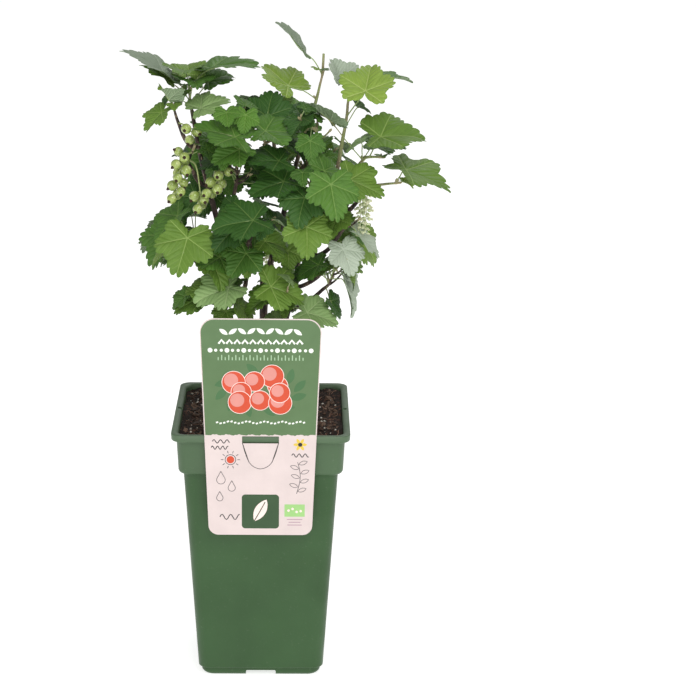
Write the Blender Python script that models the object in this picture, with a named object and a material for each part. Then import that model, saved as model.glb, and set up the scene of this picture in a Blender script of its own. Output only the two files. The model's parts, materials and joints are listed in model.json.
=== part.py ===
"""A young red currant bush in a tall square nursery pot, with a plant label on the pot's rim.

The origin is the centre of the pot's flat underside.  +X is the right of the label's face, the
label faces -Y and +Z is up.  The tables below hold sizes in millimetres, and MM turns them into
metres.
"""
import math
import random
from collections import namedtuple

import bmesh
import bpy
from mathutils import Matrix, Vector
from mathutils.bvhtree import BVHTree

MM = 0.001
GAP = 0.3
WELD = 0.000001
SMOOTH_ANGLE = math.radians(40)

# Pot: half widths across the flats, and heights above the underside
POT_HEIGHT = 228.4
LIP_HALF = 75.0
LIP_HEIGHT = 5.6
LIP_WIDTH = 4.0
LIP_EDGE = 0.8
COLLAR_TOP_HALF = 70.6
COLLAR_FOOT_HALF = 69.3
COLLAR_FOOT_Z = 193.1
BODY_TOP_HALF = 65.2
BODY_FOOT_HALF = 54.2
BODY_FOOT_Z = 7.6
FOOT_HALF = 47.9
FOOT_EDGE_HALF = 51.6
WALL = 1.5
FLOOR = 9.2
LEDGE_TOP = 1.0
LEDGE_FOOT = -0.1
CORNER_RADIUS = 9.0
CORNER_STEPS = 4
NOTCH_WIDTH = 26.0
NOTCH_HEIGHT = 4.6
NOTCH_DEPTH = 18.0

# Soil: its level, its lumps, and the flat spot under the shrub
SOIL_TOP = 220.5
SOIL_LUMP = 1.0
SOIL_FLAT_RADIUS = 17.0
SOIL_RINGS = (0.84, 0.68, 0.52, 0.38, 0.20)

# Label: a plastic card whose window lets the pot's lip show
LABEL_TOP_Z = 330.0
LABEL_FOOT_Z = 141.0
LABEL_TOP_HALF = 50.0
LABEL_FOOT_HALF = 43.6
LABEL_TOP_RADIUS = 12.0
LABEL_FOOT_RADIUS = 8.5
LABEL_THICKNESS = 0.6
WINDOW_HALF = 15.3
WINDOW_TOP_Z = 228.6
WINDOW_FOOT_Z = 222.4
SLIT_WIDTH = 0.7
SLIT_FOOT_Z = 205.5
SLIT_FOOT_HALF = 9.2

# Shrub: the foot of the stems, and how thick the smallest wood is
TRUNK_FOOT_RADIUS = 10.5
TRUNK_FORK_RADIUS = 8.6
TRUNK_FORK_Z = 240.0
BOUGH_STEP = 2.0
BOUGH_BEND = 0.45
BOUGH_SAG = 0.06
TWIG_TURN = 0.3
TWIG_BOW = 0.6
TWIG_RADIUS = 1.5
TWIG_TIP_RADIUS = 0.9
STALK_RADIUS = 0.9
STALK_SINK = 3.0
BOUGH_TIP_RADIUS = 1.7
LEAF_THICKNESS = 1.3

# Leaf: a five-lobed blade, as shares of its width measured from the stalk's end
LOBE_SPACING = math.radians(62.5)
TIP_REACH = 0.72
REACH_LOSS = 0.135
SINUS_DEPTH = 0.20
NOTCH_START = math.radians(140)
NOTCH_REACH = 0.06
OUTLINE_POINTS = 16

# Growth: the turn from leaf to leaf, the side that the light comes from, and the lowest leaf
TURN = math.radians(137.5)
LIGHT = Vector((0.10, -0.42, 0.0))
UP = Vector((0.0, 0.0, 1.0))
FIRST_SHARE = 0.22
LAST_SHARE = 0.85

# Each leaf's tries, which spread further each time, and the room that it keeps
TRIES = 40
SPREAD = 14.0
SPREAD_STEP = 2.2
CLEARANCE = 0.9
TRIAL_SCALE = 1.04
STALK_ROOM = 0.15
ROOM_SIDES = 8
LABEL_ROOM = 6.0
LABEL_SLACK = 3.0
SPACE_REACH = 0.8
EDGE_ANGLES = (-2.2, -1.1, 0.0, 1.1, 2.2)

# The front view that the gaps and the leaves that show the most are lined up with, and the way
# kept free in front of each such leaf: from where to where, its radius, its place on the blade
SEEN_FROM = Vector((32.0, -1643.0, 767.0))
GAP_REACH = 120.0
VIEW_START = 6.0
VIEW_REACH = 24.0
VIEW_RADIUS = 0.1
VIEW_SHARE = 0.3
VIEW_SIDES = 6

# Each stalk: its rise in degrees at the twig's foot and tip, and how its length falls off
FOOT_LIFT = 12.0
LIFT_GAIN = 40.0
LEAN_LIFT = 36.0
TWIG_PULL = 0.15
STALK_FOOT = 1.1
STALK_LOSS = 0.45

# Each blade: its width along the twig, how it faces, and how it bends
BLADE_FOOT = 1.06
BLADE_LOSS = 0.24
LEANS = (-0.15, 0.25)
SWAYS = (-0.25, 0.25)
LIGHT_SHARE = 0.3
FOLDS = (0.10, 0.38)
CURLS = (0.10, 0.50)
YOUNG_LEAN = 1.3
YOUNG_FOLD = 0.8

# Berries: their size, and the thread that they hang on
BERRY_RADIUS = 4.4
BERRY_STEP = 3.5
BERRY_OFFSET = 4.7
BERRY_ROOM = 0.6
FIRST_BERRY = 1.0
STRIG_RADIUS = 0.8
THREAD_OUT = 0.6
THREAD_DROP = 0.15

Limb = namedtuple("Limb", "name points foot_radius tip_radius")
Bough = namedtuple("Bough", "name parent height tip foot_radius")
Mass = namedtuple("Mass", "name bough tip leaves blade stalk lean bearing seed")
KeyLeaf = namedtuple("KeyLeaf", "mass share place bearing lean light width fold")
SkyGap = namedtuple("SkyGap", "x z radius")
Truss = namedtuple("Truss", "mass along drop berries")
Leaf = namedtuple("Leaf", "root junction axis side normal width fold curl")

STEMS = (
    Limb("stem_left", ((-4.0, -1.6, 240.3), (-4.2, -1.7, 246), (-13, -4, 290), (-24, -7, 340),
                       (-39, -12, 402), (-51, -15, 451), (-58, -15, 490)), 3.7, 2.2),
    Limb("stem_centre", ((0.0, 5.2, 240.3), (0.0, 5.2, 246), (0, 2, 295), (5, -4, 350),
                         (17, -6, 400), (30, -5, 452), (41, -1, 487)), 3.6, 2.0),
    Limb("stem_right", ((4.0, -1.6, 240.3), (4.2, -1.7, 246), (11, -6, 290), (22, -11, 333),
                        (43, -15, 373), (60, -15, 432), (67, -15, 472)), 3.7, 2.1),
)

# Each bough leaves its parent at a height and runs to its tip, where its mass of leaves begins
BOUGHS = (
    Bough("bough_back_left", "stem_left", 264, (-38, 46, 418), 2.9),
    Bough("bough_back_right", "stem_right", 262, (42, 48, 416), 2.9),
    Bough("bough_back_low", "stem_centre", 270, (-2, 56, 344), 2.6),
    Bough("bough_back_top", "stem_centre", 418, (8, 36, 460), 2.2),
    Bough("bough_side_left", "bough_back_left", 330, (-66, 28, 362), 2.1),
    Bough("bough_side_right", "bough_back_right", 330, (60, 28, 356), 2.1),
    Bough("bough_left_high", "stem_left", 462, (-68, -24, 480), 2.0),
    Bough("bough_left_mid", "stem_left", 430, (-58, -32, 446), 2.1),
    Bough("bough_left_low", "stem_left", 348, (-54, -26, 370), 2.3),
    Bough("bough_left_foot", "stem_left", 305, (-34, -28, 324), 2.3),
    Bough("bough_centre_high", "stem_centre", 425, (4, -30, 460), 2.2),
    Bough("bough_heart_left", "stem_left", 398, (-22, -26, 428), 2.1),
    Bough("bough_heart_right", "stem_centre", 440, (44, -26, 466), 2.0),
    Bough("bough_heart_low", "stem_left", 332, (-12, -34, 366), 2.2),
    Bough("bough_front_right", "stem_centre", 392, (38, -44, 422), 2.2),
    Bough("bough_front_mid", "stem_left", 362, (-8, -54, 394), 2.3),
    Bough("bough_front_low", "stem_centre", 296, (18, -38, 322), 2.3),
    Bough("bough_right_high", "stem_right", 438, (82, -22, 450), 2.1),
    Bough("bough_far_right", "stem_right", 402, (84, -18, 422), 2.1),
    Bough("bough_right_mid", "stem_right", 372, (66, -34, 394), 2.2),
    Bough("bough_right_low", "stem_right", 328, (52, -30, 344), 2.2),
)

# Each mass: its limb, its twig's tip, and its leaves' count, width, stalk, lean and first bearing
MASSES = (
    Mass("foliage_left_top", "stem_left", (-60, -15, 506), 6, 42, 28, -0.35, 242, 5),
    Mass("foliage_top_centre", "stem_centre", (49, 0, 518), 0, 34, 22, -0.45, 215, 4),
    Mass("foliage_right_top", "stem_right", (71, -15, 508), 2, 36, 22, -0.40, 300, 12),
    Mass("foliage_right_high", "bough_right_high", (96, -26, 455), 2, 36, 20, -0.10, 200, 6),
    Mass("foliage_far_right", "bough_far_right", (110, -20, 432), 0, 38, 26, 0.30, -6, 15),
    Mass("foliage_left_high", "bough_left_high", (-72, -28, 494), 3, 30, 18, 0.20, 290, 8),
    Mass("foliage_centre_high", "bough_centre_high", (-28, -36, 488), 9, 44, 26, 0.40, 250, 10),
    Mass("foliage_heart_right", "bough_heart_right", (40, -34, 482), 7, 34, 22, 0.40, 250, 10),
    Mass("foliage_front_right", "bough_front_right", (44, -56, 440), 8, 38, 22, 0.60, 260, 1),
    Mass("foliage_front_mid", "bough_front_mid", (-8, -68, 416), 8, 38, 22, 0.60, 240, 13),
    Mass("foliage_heart_left", "bough_heart_left", (-20, -36, 448), 9, 36, 24, 0.50, 260, 14),
    Mass("foliage_left_mid", "bough_left_mid", (-56, -40, 462), 6, 30, 20, 0.50, 290, 11),
    Mass("foliage_left_low", "bough_left_low", (-58, -34, 378), 8, 36, 22, 0.60, 200, 8),
    Mass("foliage_left_foot", "bough_left_foot", (-44, -34, 338), 8, 36, 22, 0.60, 215, 13),
    Mass("foliage_heart_low", "bough_heart_low", (2, -40, 384), 9, 36, 22, 0.60, 260, 8),
    Mass("foliage_front_low", "bough_front_low", (20, -44, 344), 9, 34, 22, 0.60, 300, 6),
    Mass("foliage_right_mid", "bough_right_mid", (68, -36, 414), 8, 34, 20, 0.50, 260, 9),
    Mass("foliage_right_low", "bough_right_low", (60, -34, 360), 8, 34, 20, 0.70, 330, 7),
    Mass("foliage_back_top", "bough_back_top", (4, 44, 476), 6, 40, 24, 0.50, 70, 15),
    Mass("foliage_back_left", "bough_back_left", (-44, 54, 450), 8, 46, 28, 0.50, 120, 1),
    Mass("foliage_back_right", "bough_back_right", (50, 58, 448), 8, 46, 28, 0.50, 90, 3),
    Mass("foliage_back_low", "bough_back_low", (-2, 70, 366), 7, 46, 28, 0.90, 80, 2),
    Mass("foliage_side_left", "bough_side_left", (-68, 34, 386), 6, 42, 22, 0.75, 150, 10),
    Mass("foliage_side_right", "bough_side_right", (66, 34, 380), 6, 42, 22, 0.75, 50, 15),
)

# Leaves that show the most: where the stalk leaves the twig, where the blade begins, the bearing
# that it points to, how far it leans out and turns to the light, its width and its fold
KEY_LEAVES = (
    KeyLeaf("foliage_left_top", 0.85, (-80, -16, 521), 182, -0.7, 0.0, 54, 0.15),
    KeyLeaf("foliage_left_top", 1.00, (-42, -16, 526), -2, -0.2, 0.0, 54, 0.15),
    KeyLeaf("foliage_left_top", 0.10, (-50, -30, 495), 25, -0.4, 0.8, 34, 0.15),
    KeyLeaf("foliage_left_high", 0.90, (-82, -30, 491), 215, 0.8, 0.2, 28, 0.15),
    KeyLeaf("foliage_top_centre", 1.00, (30, 0, 541), 180, -1.4, 0.0, 38, 0.20),
    KeyLeaf("foliage_top_centre", 0.35, (21, 8, 508), 140, -0.5, 0.5, 42, 0.20),
    KeyLeaf("foliage_right_top", 0.40, (84, -28, 510), 80, -0.8, 0.3, 43, 0.15),
    KeyLeaf("foliage_right_top", 0.80, (97, 6, 516), 5, 0.0, 0.0, 38, 0.20),
    KeyLeaf("foliage_right_high", 0.10, (56, -26, 485), 205, -0.9, -0.3, 38, 0.20),
    KeyLeaf("foliage_right_high", 0.50, (97, -30, 473), 10, -0.1, 1.0, 52, 0.25),
    KeyLeaf("foliage_right_high", 0.10, (93, -8, 463), 5, 0.0, 0.5, 37, 0.10),
    KeyLeaf("foliage_far_right", 0.05, (72, -50, 441), -20, 0.2, 1.2, 42, 0.20),
    KeyLeaf("foliage_far_right", 1.00, (119, -21, 444), -18, 0.25, 0.2, 56, 0.15),
    KeyLeaf("foliage_front_right", 0.90, (56, -84, 444), 285, 1.4, 0.4, 41, 0.10),
    KeyLeaf("foliage_front_right", 0.30, (37, -80, 408), 275, 1.0, 0.4, 38, 0.15),
    KeyLeaf("foliage_front_mid", 0.60, (-6, -88, 415), 190, 0.2, 1.1, 46, 0.15),
    KeyLeaf("foliage_front_right", 0.90, (18, -60, 441), 200, 0.3, 1.0, 42, 0.15),
    KeyLeaf("foliage_left_low", 0.90, (-60, -62, 394), 260, 0.9, 0.8, 46, 0.10),
    KeyLeaf("foliage_left_low", 0.70, (-34, -54, 376), 165, -0.3, 1.6, 38, 0.15),
    KeyLeaf("foliage_left_foot", 1.00, (-27, -52, 350), 205, 0.3, 1.2, 42, 0.15),
    KeyLeaf("foliage_front_low", 1.00, (8, -60, 353), -10, 0.2, 2.0, 42, 0.15),
    KeyLeaf("foliage_front_low", 0.50, (38, -52, 329), -10, 0.1, 1.4, 38, 0.20),
    KeyLeaf("foliage_right_low", 0.60, (69, -37, 353), -10, 3.0, 0.2, 46, 0.30),
    KeyLeaf("foliage_centre_high", 0.20, (4, -25, 488), 80, -1.0, 0.3, 38, 0.10),
    KeyLeaf("foliage_centre_high", 0.40, (-21, -60, 477), 172, -0.2, 0.9, 48, 0.15),
    KeyLeaf("foliage_centre_high", 0.10, (3, -48, 480), 10, 0.0, 1.0, 44, 0.15),
    KeyLeaf("foliage_centre_high", 0.05, (14, -56, 457), 195, -0.1, 0.9, 38, 0.15),
    KeyLeaf("foliage_centre_high", 0.50, (-18, -56, 466), 215, 0.3, 1.3, 34, 0.15),
)

# Gaps that show the sky from the front: place at the crown's middle, and radius
SKY_GAPS = (
    SkyGap(-12, 514, 9), SkyGap(36, 503, 7), SkyGap(57, 500, 7), SkyGap(56, 475, 8),
    SkyGap(81, 453, 6), SkyGap(113, 450, 7), SkyGap(-19, 441, 4), SkyGap(29, 444, 4),
    SkyGap(-17, 416, 4), SkyGap(-55, 392, 5), SkyGap(-5, 404, 3), SkyGap(39, 426, 3),
    SkyGap(83, 405, 8), SkyGap(7, 350, 4), SkyGap(-16, 333, 4), SkyGap(3, 317, 4),
    SkyGap(41, 335, 9), SkyGap(66, 337, 6), SkyGap(-67, 347, 6), SkyGap(52, 372, 4),
    SkyGap(-30, 500, 6), SkyGap(-92, 470, 10), SkyGap(-92, 500, 8), SkyGap(95, 495, 6),
)

# Each truss: its mass, how far along the twig it hangs, where it drops to, and its berries
TRUSSES = (
    Truss("foliage_left_high", 0.10, (14, -20, -8), 3),
    Truss("foliage_left_mid", 0.90, (-13, -12, -38), 12),
    Truss("foliage_left_mid", 0.45, (11, -18, -38), 4),
    Truss("foliage_heart_left", 0.90, (-22, -20, -20), 8),
    Truss("foliage_back_left", 0.20, (-20, 12, -36), 8),
    Truss("foliage_back_right", 0.20, (16, 16, -36), 8),
)


def clear_scene():
    for item in list(bpy.data.objects):
        bpy.data.objects.remove(item, do_unlink=True)


def make_collection(name):
    collection = bpy.data.collections.new(name)
    bpy.context.scene.collection.children.link(collection)
    return collection


def linear(part):
    return part / 12.92 if part <= 0.04045 else ((part + 0.055) / 1.055) ** 2.4


def make_material(name, colour, roughness):
    """A Principled material from an sRGB hex colour."""
    material = bpy.data.materials.new(name)
    material.use_nodes = True
    shader = material.node_tree.nodes["Principled BSDF"]
    parts = [linear(int(colour[i:i + 2], 16) / 255) for i in (0, 2, 4)]
    shader.inputs["Base Color"].default_value = (*parts, 1.0)
    shader.inputs["Roughness"].default_value = roughness
    shader.inputs["Metallic"].default_value = 0.0
    return material


def link_object(name, data, collection, material=None):
    """Puts a mesh or a curve in the scene as an object."""
    item = bpy.data.objects.new(name, data)
    collection.objects.link(item)
    if material:
        data.materials.append(material)
    return item


def shade(mesh):
    """Shades a mesh smooth across its soft edges."""
    mesh.shade_smooth()
    mesh.set_sharp_from_angle(angle=SMOOTH_ANGLE)


def mesh_from_bmesh(name, bm):
    """A mesh whose faces all point out."""
    bmesh.ops.recalc_face_normals(bm, faces=bm.faces)
    mesh = bpy.data.meshes.new(name)
    bm.to_mesh(mesh)
    bm.free()
    shade(mesh)
    return mesh


def to_mesh_object(item):
    """Turns a curve, or an object with modifiers, into a plain mesh object in its place."""
    depsgraph = bpy.context.evaluated_depsgraph_get()
    mesh = bpy.data.meshes.new_from_object(item.evaluated_get(depsgraph))
    bm = bmesh.new()
    bm.from_mesh(mesh)
    bmesh.ops.remove_doubles(bm, verts=bm.verts, dist=WELD)
    bmesh.ops.recalc_face_normals(bm, faces=bm.faces)
    bm.to_mesh(mesh)
    bm.free()
    name = item.name
    copy = bpy.data.objects.new(name + "_mesh", mesh)
    copy.matrix_world = item.matrix_world
    for collection in item.users_collection:
        collection.objects.link(copy)
    bpy.data.objects.remove(item, do_unlink=True)
    copy.name = name
    return copy


def loft(name, rings):
    """A closed mesh through rings of equally many points, with its two ends filled."""
    bm = bmesh.new()
    loops = [[bm.verts.new(Vector(point) * MM) for point in ring] for ring in rings]
    for lower, upper in zip(loops, loops[1:]):
        for i in range(len(lower)):
            j = (i + 1) % len(lower)
            bm.faces.new((lower[i], lower[j], upper[j], upper[i]))
    bm.faces.new(reversed(loops[0]))
    bm.faces.new(loops[-1])
    return mesh_from_bmesh(name, bm)


def rounded_square(half, radius, height, lump=None):
    """A ring of points round a square with rounded corners; lump gives each point's extra height."""
    ring = []
    for corner in range(4):
        for step in range(CORNER_STEPS + 1):
            angle = math.radians(90) * (corner + step / CORNER_STEPS)
            middle = math.radians(45 + 90 * corner)
            x = (half - radius) * math.copysign(1, math.cos(middle)) + radius * math.cos(angle)
            y = (half - radius) * math.copysign(1, math.sin(middle)) + radius * math.sin(angle)
            ring.append((x, y, height + (lump(x, y) if lump else 0.0)))
    return ring


def body_half(height):
    """Half the width of the pot's tapered body at a height."""
    share = (height - BODY_FOOT_Z) / (COLLAR_FOOT_Z - BODY_FOOT_Z)
    return BODY_FOOT_HALF + (BODY_TOP_HALF - BODY_FOOT_HALF) * share


def build_pot(collection, cutters, material):
    lip_foot = POT_HEIGHT - LIP_HEIGHT
    outside = (
        (FOOT_HALF, 0.0), (FOOT_EDGE_HALF - 1.0, 1.4), (FOOT_EDGE_HALF, 3.8),
        (FOOT_EDGE_HALF, BODY_FOOT_Z - 0.4), (BODY_FOOT_HALF, BODY_FOOT_Z),
        (BODY_TOP_HALF, COLLAR_FOOT_Z - 1.5), (COLLAR_FOOT_HALF - 1.2, COLLAR_FOOT_Z - 1.2),
        (COLLAR_FOOT_HALF, COLLAR_FOOT_Z), (COLLAR_TOP_HALF, lip_foot - 2.2),
        (LIP_HALF - LIP_EDGE, lip_foot - 0.6), (LIP_HALF, lip_foot + 0.4),
        (LIP_HALF, POT_HEIGHT - LIP_EDGE), (LIP_HALF - LIP_EDGE, POT_HEIGHT),
    )
    inside = (
        (LIP_HALF - LIP_WIDTH, POT_HEIGHT), (COLLAR_TOP_HALF - WALL, POT_HEIGHT - 1.2),
        (COLLAR_FOOT_HALF - WALL, COLLAR_FOOT_Z + LEDGE_TOP),
        (BODY_TOP_HALF - WALL, COLLAR_FOOT_Z + LEDGE_FOOT),
        (body_half(FLOOR) - WALL, FLOOR),
    )
    rings = [rounded_square(half, CORNER_RADIUS, height) for half, height in outside + inside]
    pot = link_object("pot", loft("pot", rings), collection, material)
    for quarter in range(4):
        bpy.ops.mesh.primitive_cube_add(size=1)
        notch = bpy.context.object
        notch.name = f"foot_notch_{quarter + 1}"
        notch.scale = (NOTCH_WIDTH * MM, 2 * NOTCH_DEPTH * MM, 2 * NOTCH_HEIGHT * MM)
        notch.location = (0.0, -FOOT_EDGE_HALF * MM, 0.0)
        turn = Matrix.Rotation(math.radians(90) * quarter, 4, "Z")
        bpy.context.view_layer.update()
        notch.matrix_world = turn @ notch.matrix_world
        for owner in list(notch.users_collection):
            owner.objects.unlink(notch)
        cutters.objects.link(notch)
        notch.hide_render = True
        notch.display_type = "WIRE"
    cut = pot.modifiers.new("foot_notches", "BOOLEAN")
    cut.operation = "DIFFERENCE"
    cut.operand_type = "COLLECTION"
    cut.collection = cutters
    return pot


def soil_lump(x, y):
    """The soil's gentle lumps, flat under the shrub."""
    away = math.hypot(x, y)
    fade = min(1.0, max(0.0, (away - SOIL_FLAT_RADIUS) / SOIL_FLAT_RADIUS))
    waves = math.sin(x * 0.11 + 1.0) + math.sin(y * 0.13) + math.sin((x + y) * 0.07)
    return SOIL_LUMP * fade * waves


def build_soil(collection, material):
    clear = WALL + 1.5 * GAP
    rings = [
        rounded_square(body_half(FLOOR) - clear, CORNER_RADIUS, FLOOR + GAP),
        rounded_square(BODY_TOP_HALF - clear, CORNER_RADIUS, COLLAR_FOOT_Z + LEDGE_FOOT + GAP),
        rounded_square(COLLAR_FOOT_HALF - clear, CORNER_RADIUS, COLLAR_FOOT_Z + LEDGE_TOP + 2 * GAP),
        rounded_square(COLLAR_FOOT_HALF - clear, CORNER_RADIUS, SOIL_TOP, soil_lump),
    ]
    for share in SOIL_RINGS:
        half = COLLAR_FOOT_HALF * share
        rings.append(rounded_square(half, half / 2, SOIL_TOP, soil_lump))
    return link_object("soil", loft("soil", rings), collection, material)


def arc(centre, radius, start, steps=5):
    """Points on a quarter circle in the card's plane, from a start angle in degrees."""
    angles = [math.radians(start + 90 * i / steps) for i in range(steps + 1)]
    return [(centre[0] + radius * math.cos(a), centre[1] + radius * math.sin(a)) for a in angles]


def flat_card(name, outlines, thickness, collection, material):
    """A flat piece from a 2D curve; the outlines after the first are holes."""
    curve = bpy.data.curves.new(name, "CURVE")
    curve.dimensions = "2D"
    curve.fill_mode = "BOTH"
    curve.extrude = thickness * MM / 2
    for outline in outlines:
        spline = curve.splines.new("POLY")
        spline.points.add(len(outline) - 1)
        for point, (x, y) in zip(spline.points, outline):
            point.co = (x * MM, y * MM, 0.0, 1.0)
        spline.use_cyclic_u = True
    return link_object(name, curve, collection, material)


def build_label(collection, material):
    top = LABEL_TOP_RADIUS
    foot = LABEL_FOOT_RADIUS
    outline = (arc((LABEL_TOP_HALF - top, LABEL_TOP_Z - top), top, 0)
               + arc((top - LABEL_TOP_HALF, LABEL_TOP_Z - top), top, 90)
               + arc((foot - LABEL_FOOT_HALF, LABEL_FOOT_Z + foot), foot, 180)
               + arc((LABEL_FOOT_HALF - foot, LABEL_FOOT_Z + foot), foot, 270))
    right = [(WINDOW_HALF, WINDOW_TOP_Z), (WINDOW_HALF, WINDOW_FOOT_Z),
             (SLIT_FOOT_HALF + SLIT_WIDTH, SLIT_FOOT_Z), (SLIT_FOOT_HALF, SLIT_FOOT_Z),
             (WINDOW_HALF - SLIT_WIDTH, WINDOW_FOOT_Z)]
    window = right + [(-x, z) for x, z in reversed(right)]
    card = flat_card("label", [outline, window], LABEL_THICKNESS, collection, material)
    card.rotation_euler = (math.radians(90), 0.0, 0.0)
    card.location = (0.0, -(LIP_HALF + GAP + LABEL_THICKNESS / 2) * MM, 0.0)
    return card


def radii_along(points, first, last):
    """A limb's radius at each point, tapering with the length run."""
    runs = [0.0]
    for a, b in zip(points, points[1:]):
        runs.append(runs[-1] + (Vector(b) - Vector(a)).length)
    return [first + (last - first) * run / runs[-1] for run in runs]


def tube(name, points, radii, sides_level, collection, material=None):
    """A tapering limb: a bevelled curve with filled ends."""
    curve = bpy.data.curves.new(name, "CURVE")
    curve.dimensions = "3D"
    curve.bevel_depth = MM
    curve.bevel_resolution = sides_level
    curve.use_fill_caps = True
    spline = curve.splines.new("POLY")
    spline.points.add(len(points) - 1)
    for point, place, radius in zip(spline.points, points, radii):
        point.co = (*(Vector(place) * MM), 1.0)
        point.radius = radius
    return link_object(name, curve, collection, material)


def bough_points(bough, limbs):
    """A bough leaves its parent square to it, then rises to its tip in a soft bend."""
    parent = limbs[bough.parent]
    radii = radii_along(parent.points, parent.foot_radius, parent.tip_radius)
    tip = Vector(bough.tip)
    for i, (low, high) in enumerate(zip(parent.points, parent.points[1:])):
        if low[2] <= bough.height < high[2]:
            share = (bough.height - low[2]) / (high[2] - low[2])
            on_axis = Vector(low).lerp(Vector(high), share)
            along = (Vector(high) - Vector(low)).normalized()
            radius = radii[i] + (radii[i + 1] - radii[i]) * share
            break
    out = tip - on_axis
    out = (out - along * out.dot(along)).normalized()
    start = on_axis + out * (radius + GAP)
    elbow = start + out * (bough.foot_radius + BOUGH_STEP)
    reach = (tip - elbow).length
    bend = elbow.lerp(tip, BOUGH_BEND) + (out - UP) * reach * BOUGH_SAG
    return [start, elbow, bend, tip]


def all_limbs():
    """Every stem and bough by name, each with its points and its radii."""
    limbs = {stem.name: stem for stem in STEMS}
    for bough in BOUGHS:
        points = [tuple(point) for point in bough_points(bough, limbs)]
        limbs[bough.name] = Limb(bough.name, points, bough.foot_radius, BOUGH_TIP_RADIUS)
    return limbs


def twig_points(mass, limbs):
    """A mass's twig: it carries straight on from its limb, a gap clear, then turns to its tip."""
    points = limbs[mass.bough].points
    end = Vector(points[-1])
    along = (end - Vector(points[-2])).normalized()
    start = end + along * GAP
    tip = Vector(mass.tip)
    turn = start + along * (tip - start).length * TWIG_TURN
    return [start, turn, turn.lerp(tip, 0.5) + along * TWIG_BOW, tip]


def point_along(points, share):
    """The place and the direction at a share of a line's length."""
    lengths = [(b - a).length for a, b in zip(points, points[1:])]
    left = share * sum(lengths)
    for a, b, length in zip(points, points[1:], lengths):
        if left <= length or b is points[-1]:
            return a.lerp(b, min(1.0, left / length)), (b - a).normalized()
        left -= length


def blade_reach(angle):
    """How far the blade's edge lies from the stalk's end, as a share of its width."""
    turn = abs(angle)
    reach = TIP_REACH - REACH_LOSS * turn / LOBE_SPACING
    reach *= 1 - SINUS_DEPTH * math.sin(math.pi * turn / LOBE_SPACING) ** 2
    if turn > NOTCH_START:
        share = (turn - NOTCH_START) / (math.pi - NOTCH_START)
        reach += (NOTCH_REACH - reach) * share ** 1.5
    return reach


def blade_point(leaf, angle, reach, offset=0.0):
    """A point of the blade, which is folded up along its midrib and curls down to its tip."""
    ahead = leaf.width * reach * math.cos(angle)
    aside = leaf.width * reach * math.sin(angle)
    rise = leaf.fold * abs(aside) - leaf.curl * ahead * ahead / leaf.width
    return leaf.junction + leaf.axis * ahead + leaf.side * aside + leaf.normal * (rise + offset)


def blade_shape(leaf, thickness, scale=1.0):
    """The points and faces of a lens-shaped blade, thickest where the stalk meets it."""
    points = [leaf.junction + leaf.normal * thickness / 2,
              leaf.junction - leaf.normal * thickness / 2]
    faces = []
    for i in range(OUTLINE_POINTS):
        angle = math.pi - 2 * math.pi * i / OUTLINE_POINTS
        points.append(blade_point(leaf, angle, blade_reach(angle) * scale))
        here = 2 + i
        after = 2 + (i + 1) % OUTLINE_POINTS
        faces.append((0, after, here))
        faces.append((1, here, after))
    return points, faces


def rod_shape(start, end, radius, sides=3):
    """The points and faces of a straight rod with flat ends."""
    along = (end - start).normalized()
    across = along.orthogonal().normalized()
    other = along.cross(across)
    points = []
    for centre in (start, end):
        for i in range(sides):
            angle = 2 * math.pi * i / sides
            points.append(centre + (across * math.cos(angle) + other * math.sin(angle)) * radius)
    faces = [(i, (i + 1) % sides, sides + (i + 1) % sides, sides + i) for i in range(sides)]
    faces.append(tuple(reversed(range(sides))))
    faces.append(tuple(range(sides, 2 * sides)))
    return points, faces


def tree_of(shape):
    return BVHTree.FromPolygons(shape[0], shape[1])


def touches(shape, trees):
    tree = tree_of(shape)
    return any(tree.overlap(other) for other in trees)


def limb_trees(points, first, last):
    """Search trees of a limb's stretches, each fatter than the limb by the clearance."""
    radii = radii_along(points, first, last)
    trees = []
    for a, b, radius in zip(points, points[1:], radii):
        room = rod_shape(Vector(a), Vector(b), radius + CLEARANCE, ROOM_SIDES)
        trees.append(tree_of(room))
    return trees


def try_leaf(mass, twig, share, bearing, attempt, dice):
    """One leaf as the rule would place it: it faces up, out from the bush and to the light."""
    place, along = point_along(twig, share)
    spread = SPREAD + SPREAD_STEP * attempt
    bearing += math.radians(dice.uniform(-spread, spread))
    out = Vector((math.cos(bearing), math.sin(bearing), 0.0))
    lift = FOOT_LIFT + LIFT_GAIN * share - LEAN_LIFT * min(mass.lean, 0.0)
    lift = math.radians(lift + dice.uniform(-spread, spread) / 2)
    stalk_way = (out * math.cos(lift) + UP * math.sin(lift) + along * TWIG_PULL).normalized()
    stalk = mass.stalk * (STALK_FOOT - STALK_LOSS * share) * dice.uniform(0.85, 1.15)
    width = mass.blade * (BLADE_FOOT - BLADE_LOSS * share) * dice.uniform(0.84, 1.08)
    lean = mass.lean + dice.uniform(*LEANS)
    sway = Vector((dice.uniform(*SWAYS), dice.uniform(*SWAYS), 0.0))
    light = LIGHT_SHARE + (1 - LIGHT_SHARE) * max(mass.lean, 0.0)
    face = UP + out * lean + LIGHT * light + sway
    fold = dice.uniform(*FOLDS)
    if share == 1.0:
        face = UP - out * YOUNG_LEAN + LIGHT * LIGHT_SHARE
        fold = YOUNG_FOLD
    normal = face.normalized()
    axis = (stalk_way - normal * stalk_way.dot(normal)).normalized()
    side = normal.cross(axis)
    curl = dice.uniform(*CURLS)
    return Leaf(place, place + stalk_way * stalk, axis, side, normal, width, fold, curl)


def key_leaf(key, twig):
    """One of the leaves that show the most."""
    root, _ = point_along(twig, key.share)
    bearing = math.radians(key.bearing)
    out = Vector((math.cos(bearing), math.sin(bearing), 0.0))
    normal = (UP + out * key.lean + LIGHT * key.light).normalized()
    axis = (out - normal * out.dot(normal)).normalized()
    return Leaf(root, Vector(key.place), axis, normal.cross(axis), normal, key.width, key.fold,
                CURLS[0])


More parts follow.
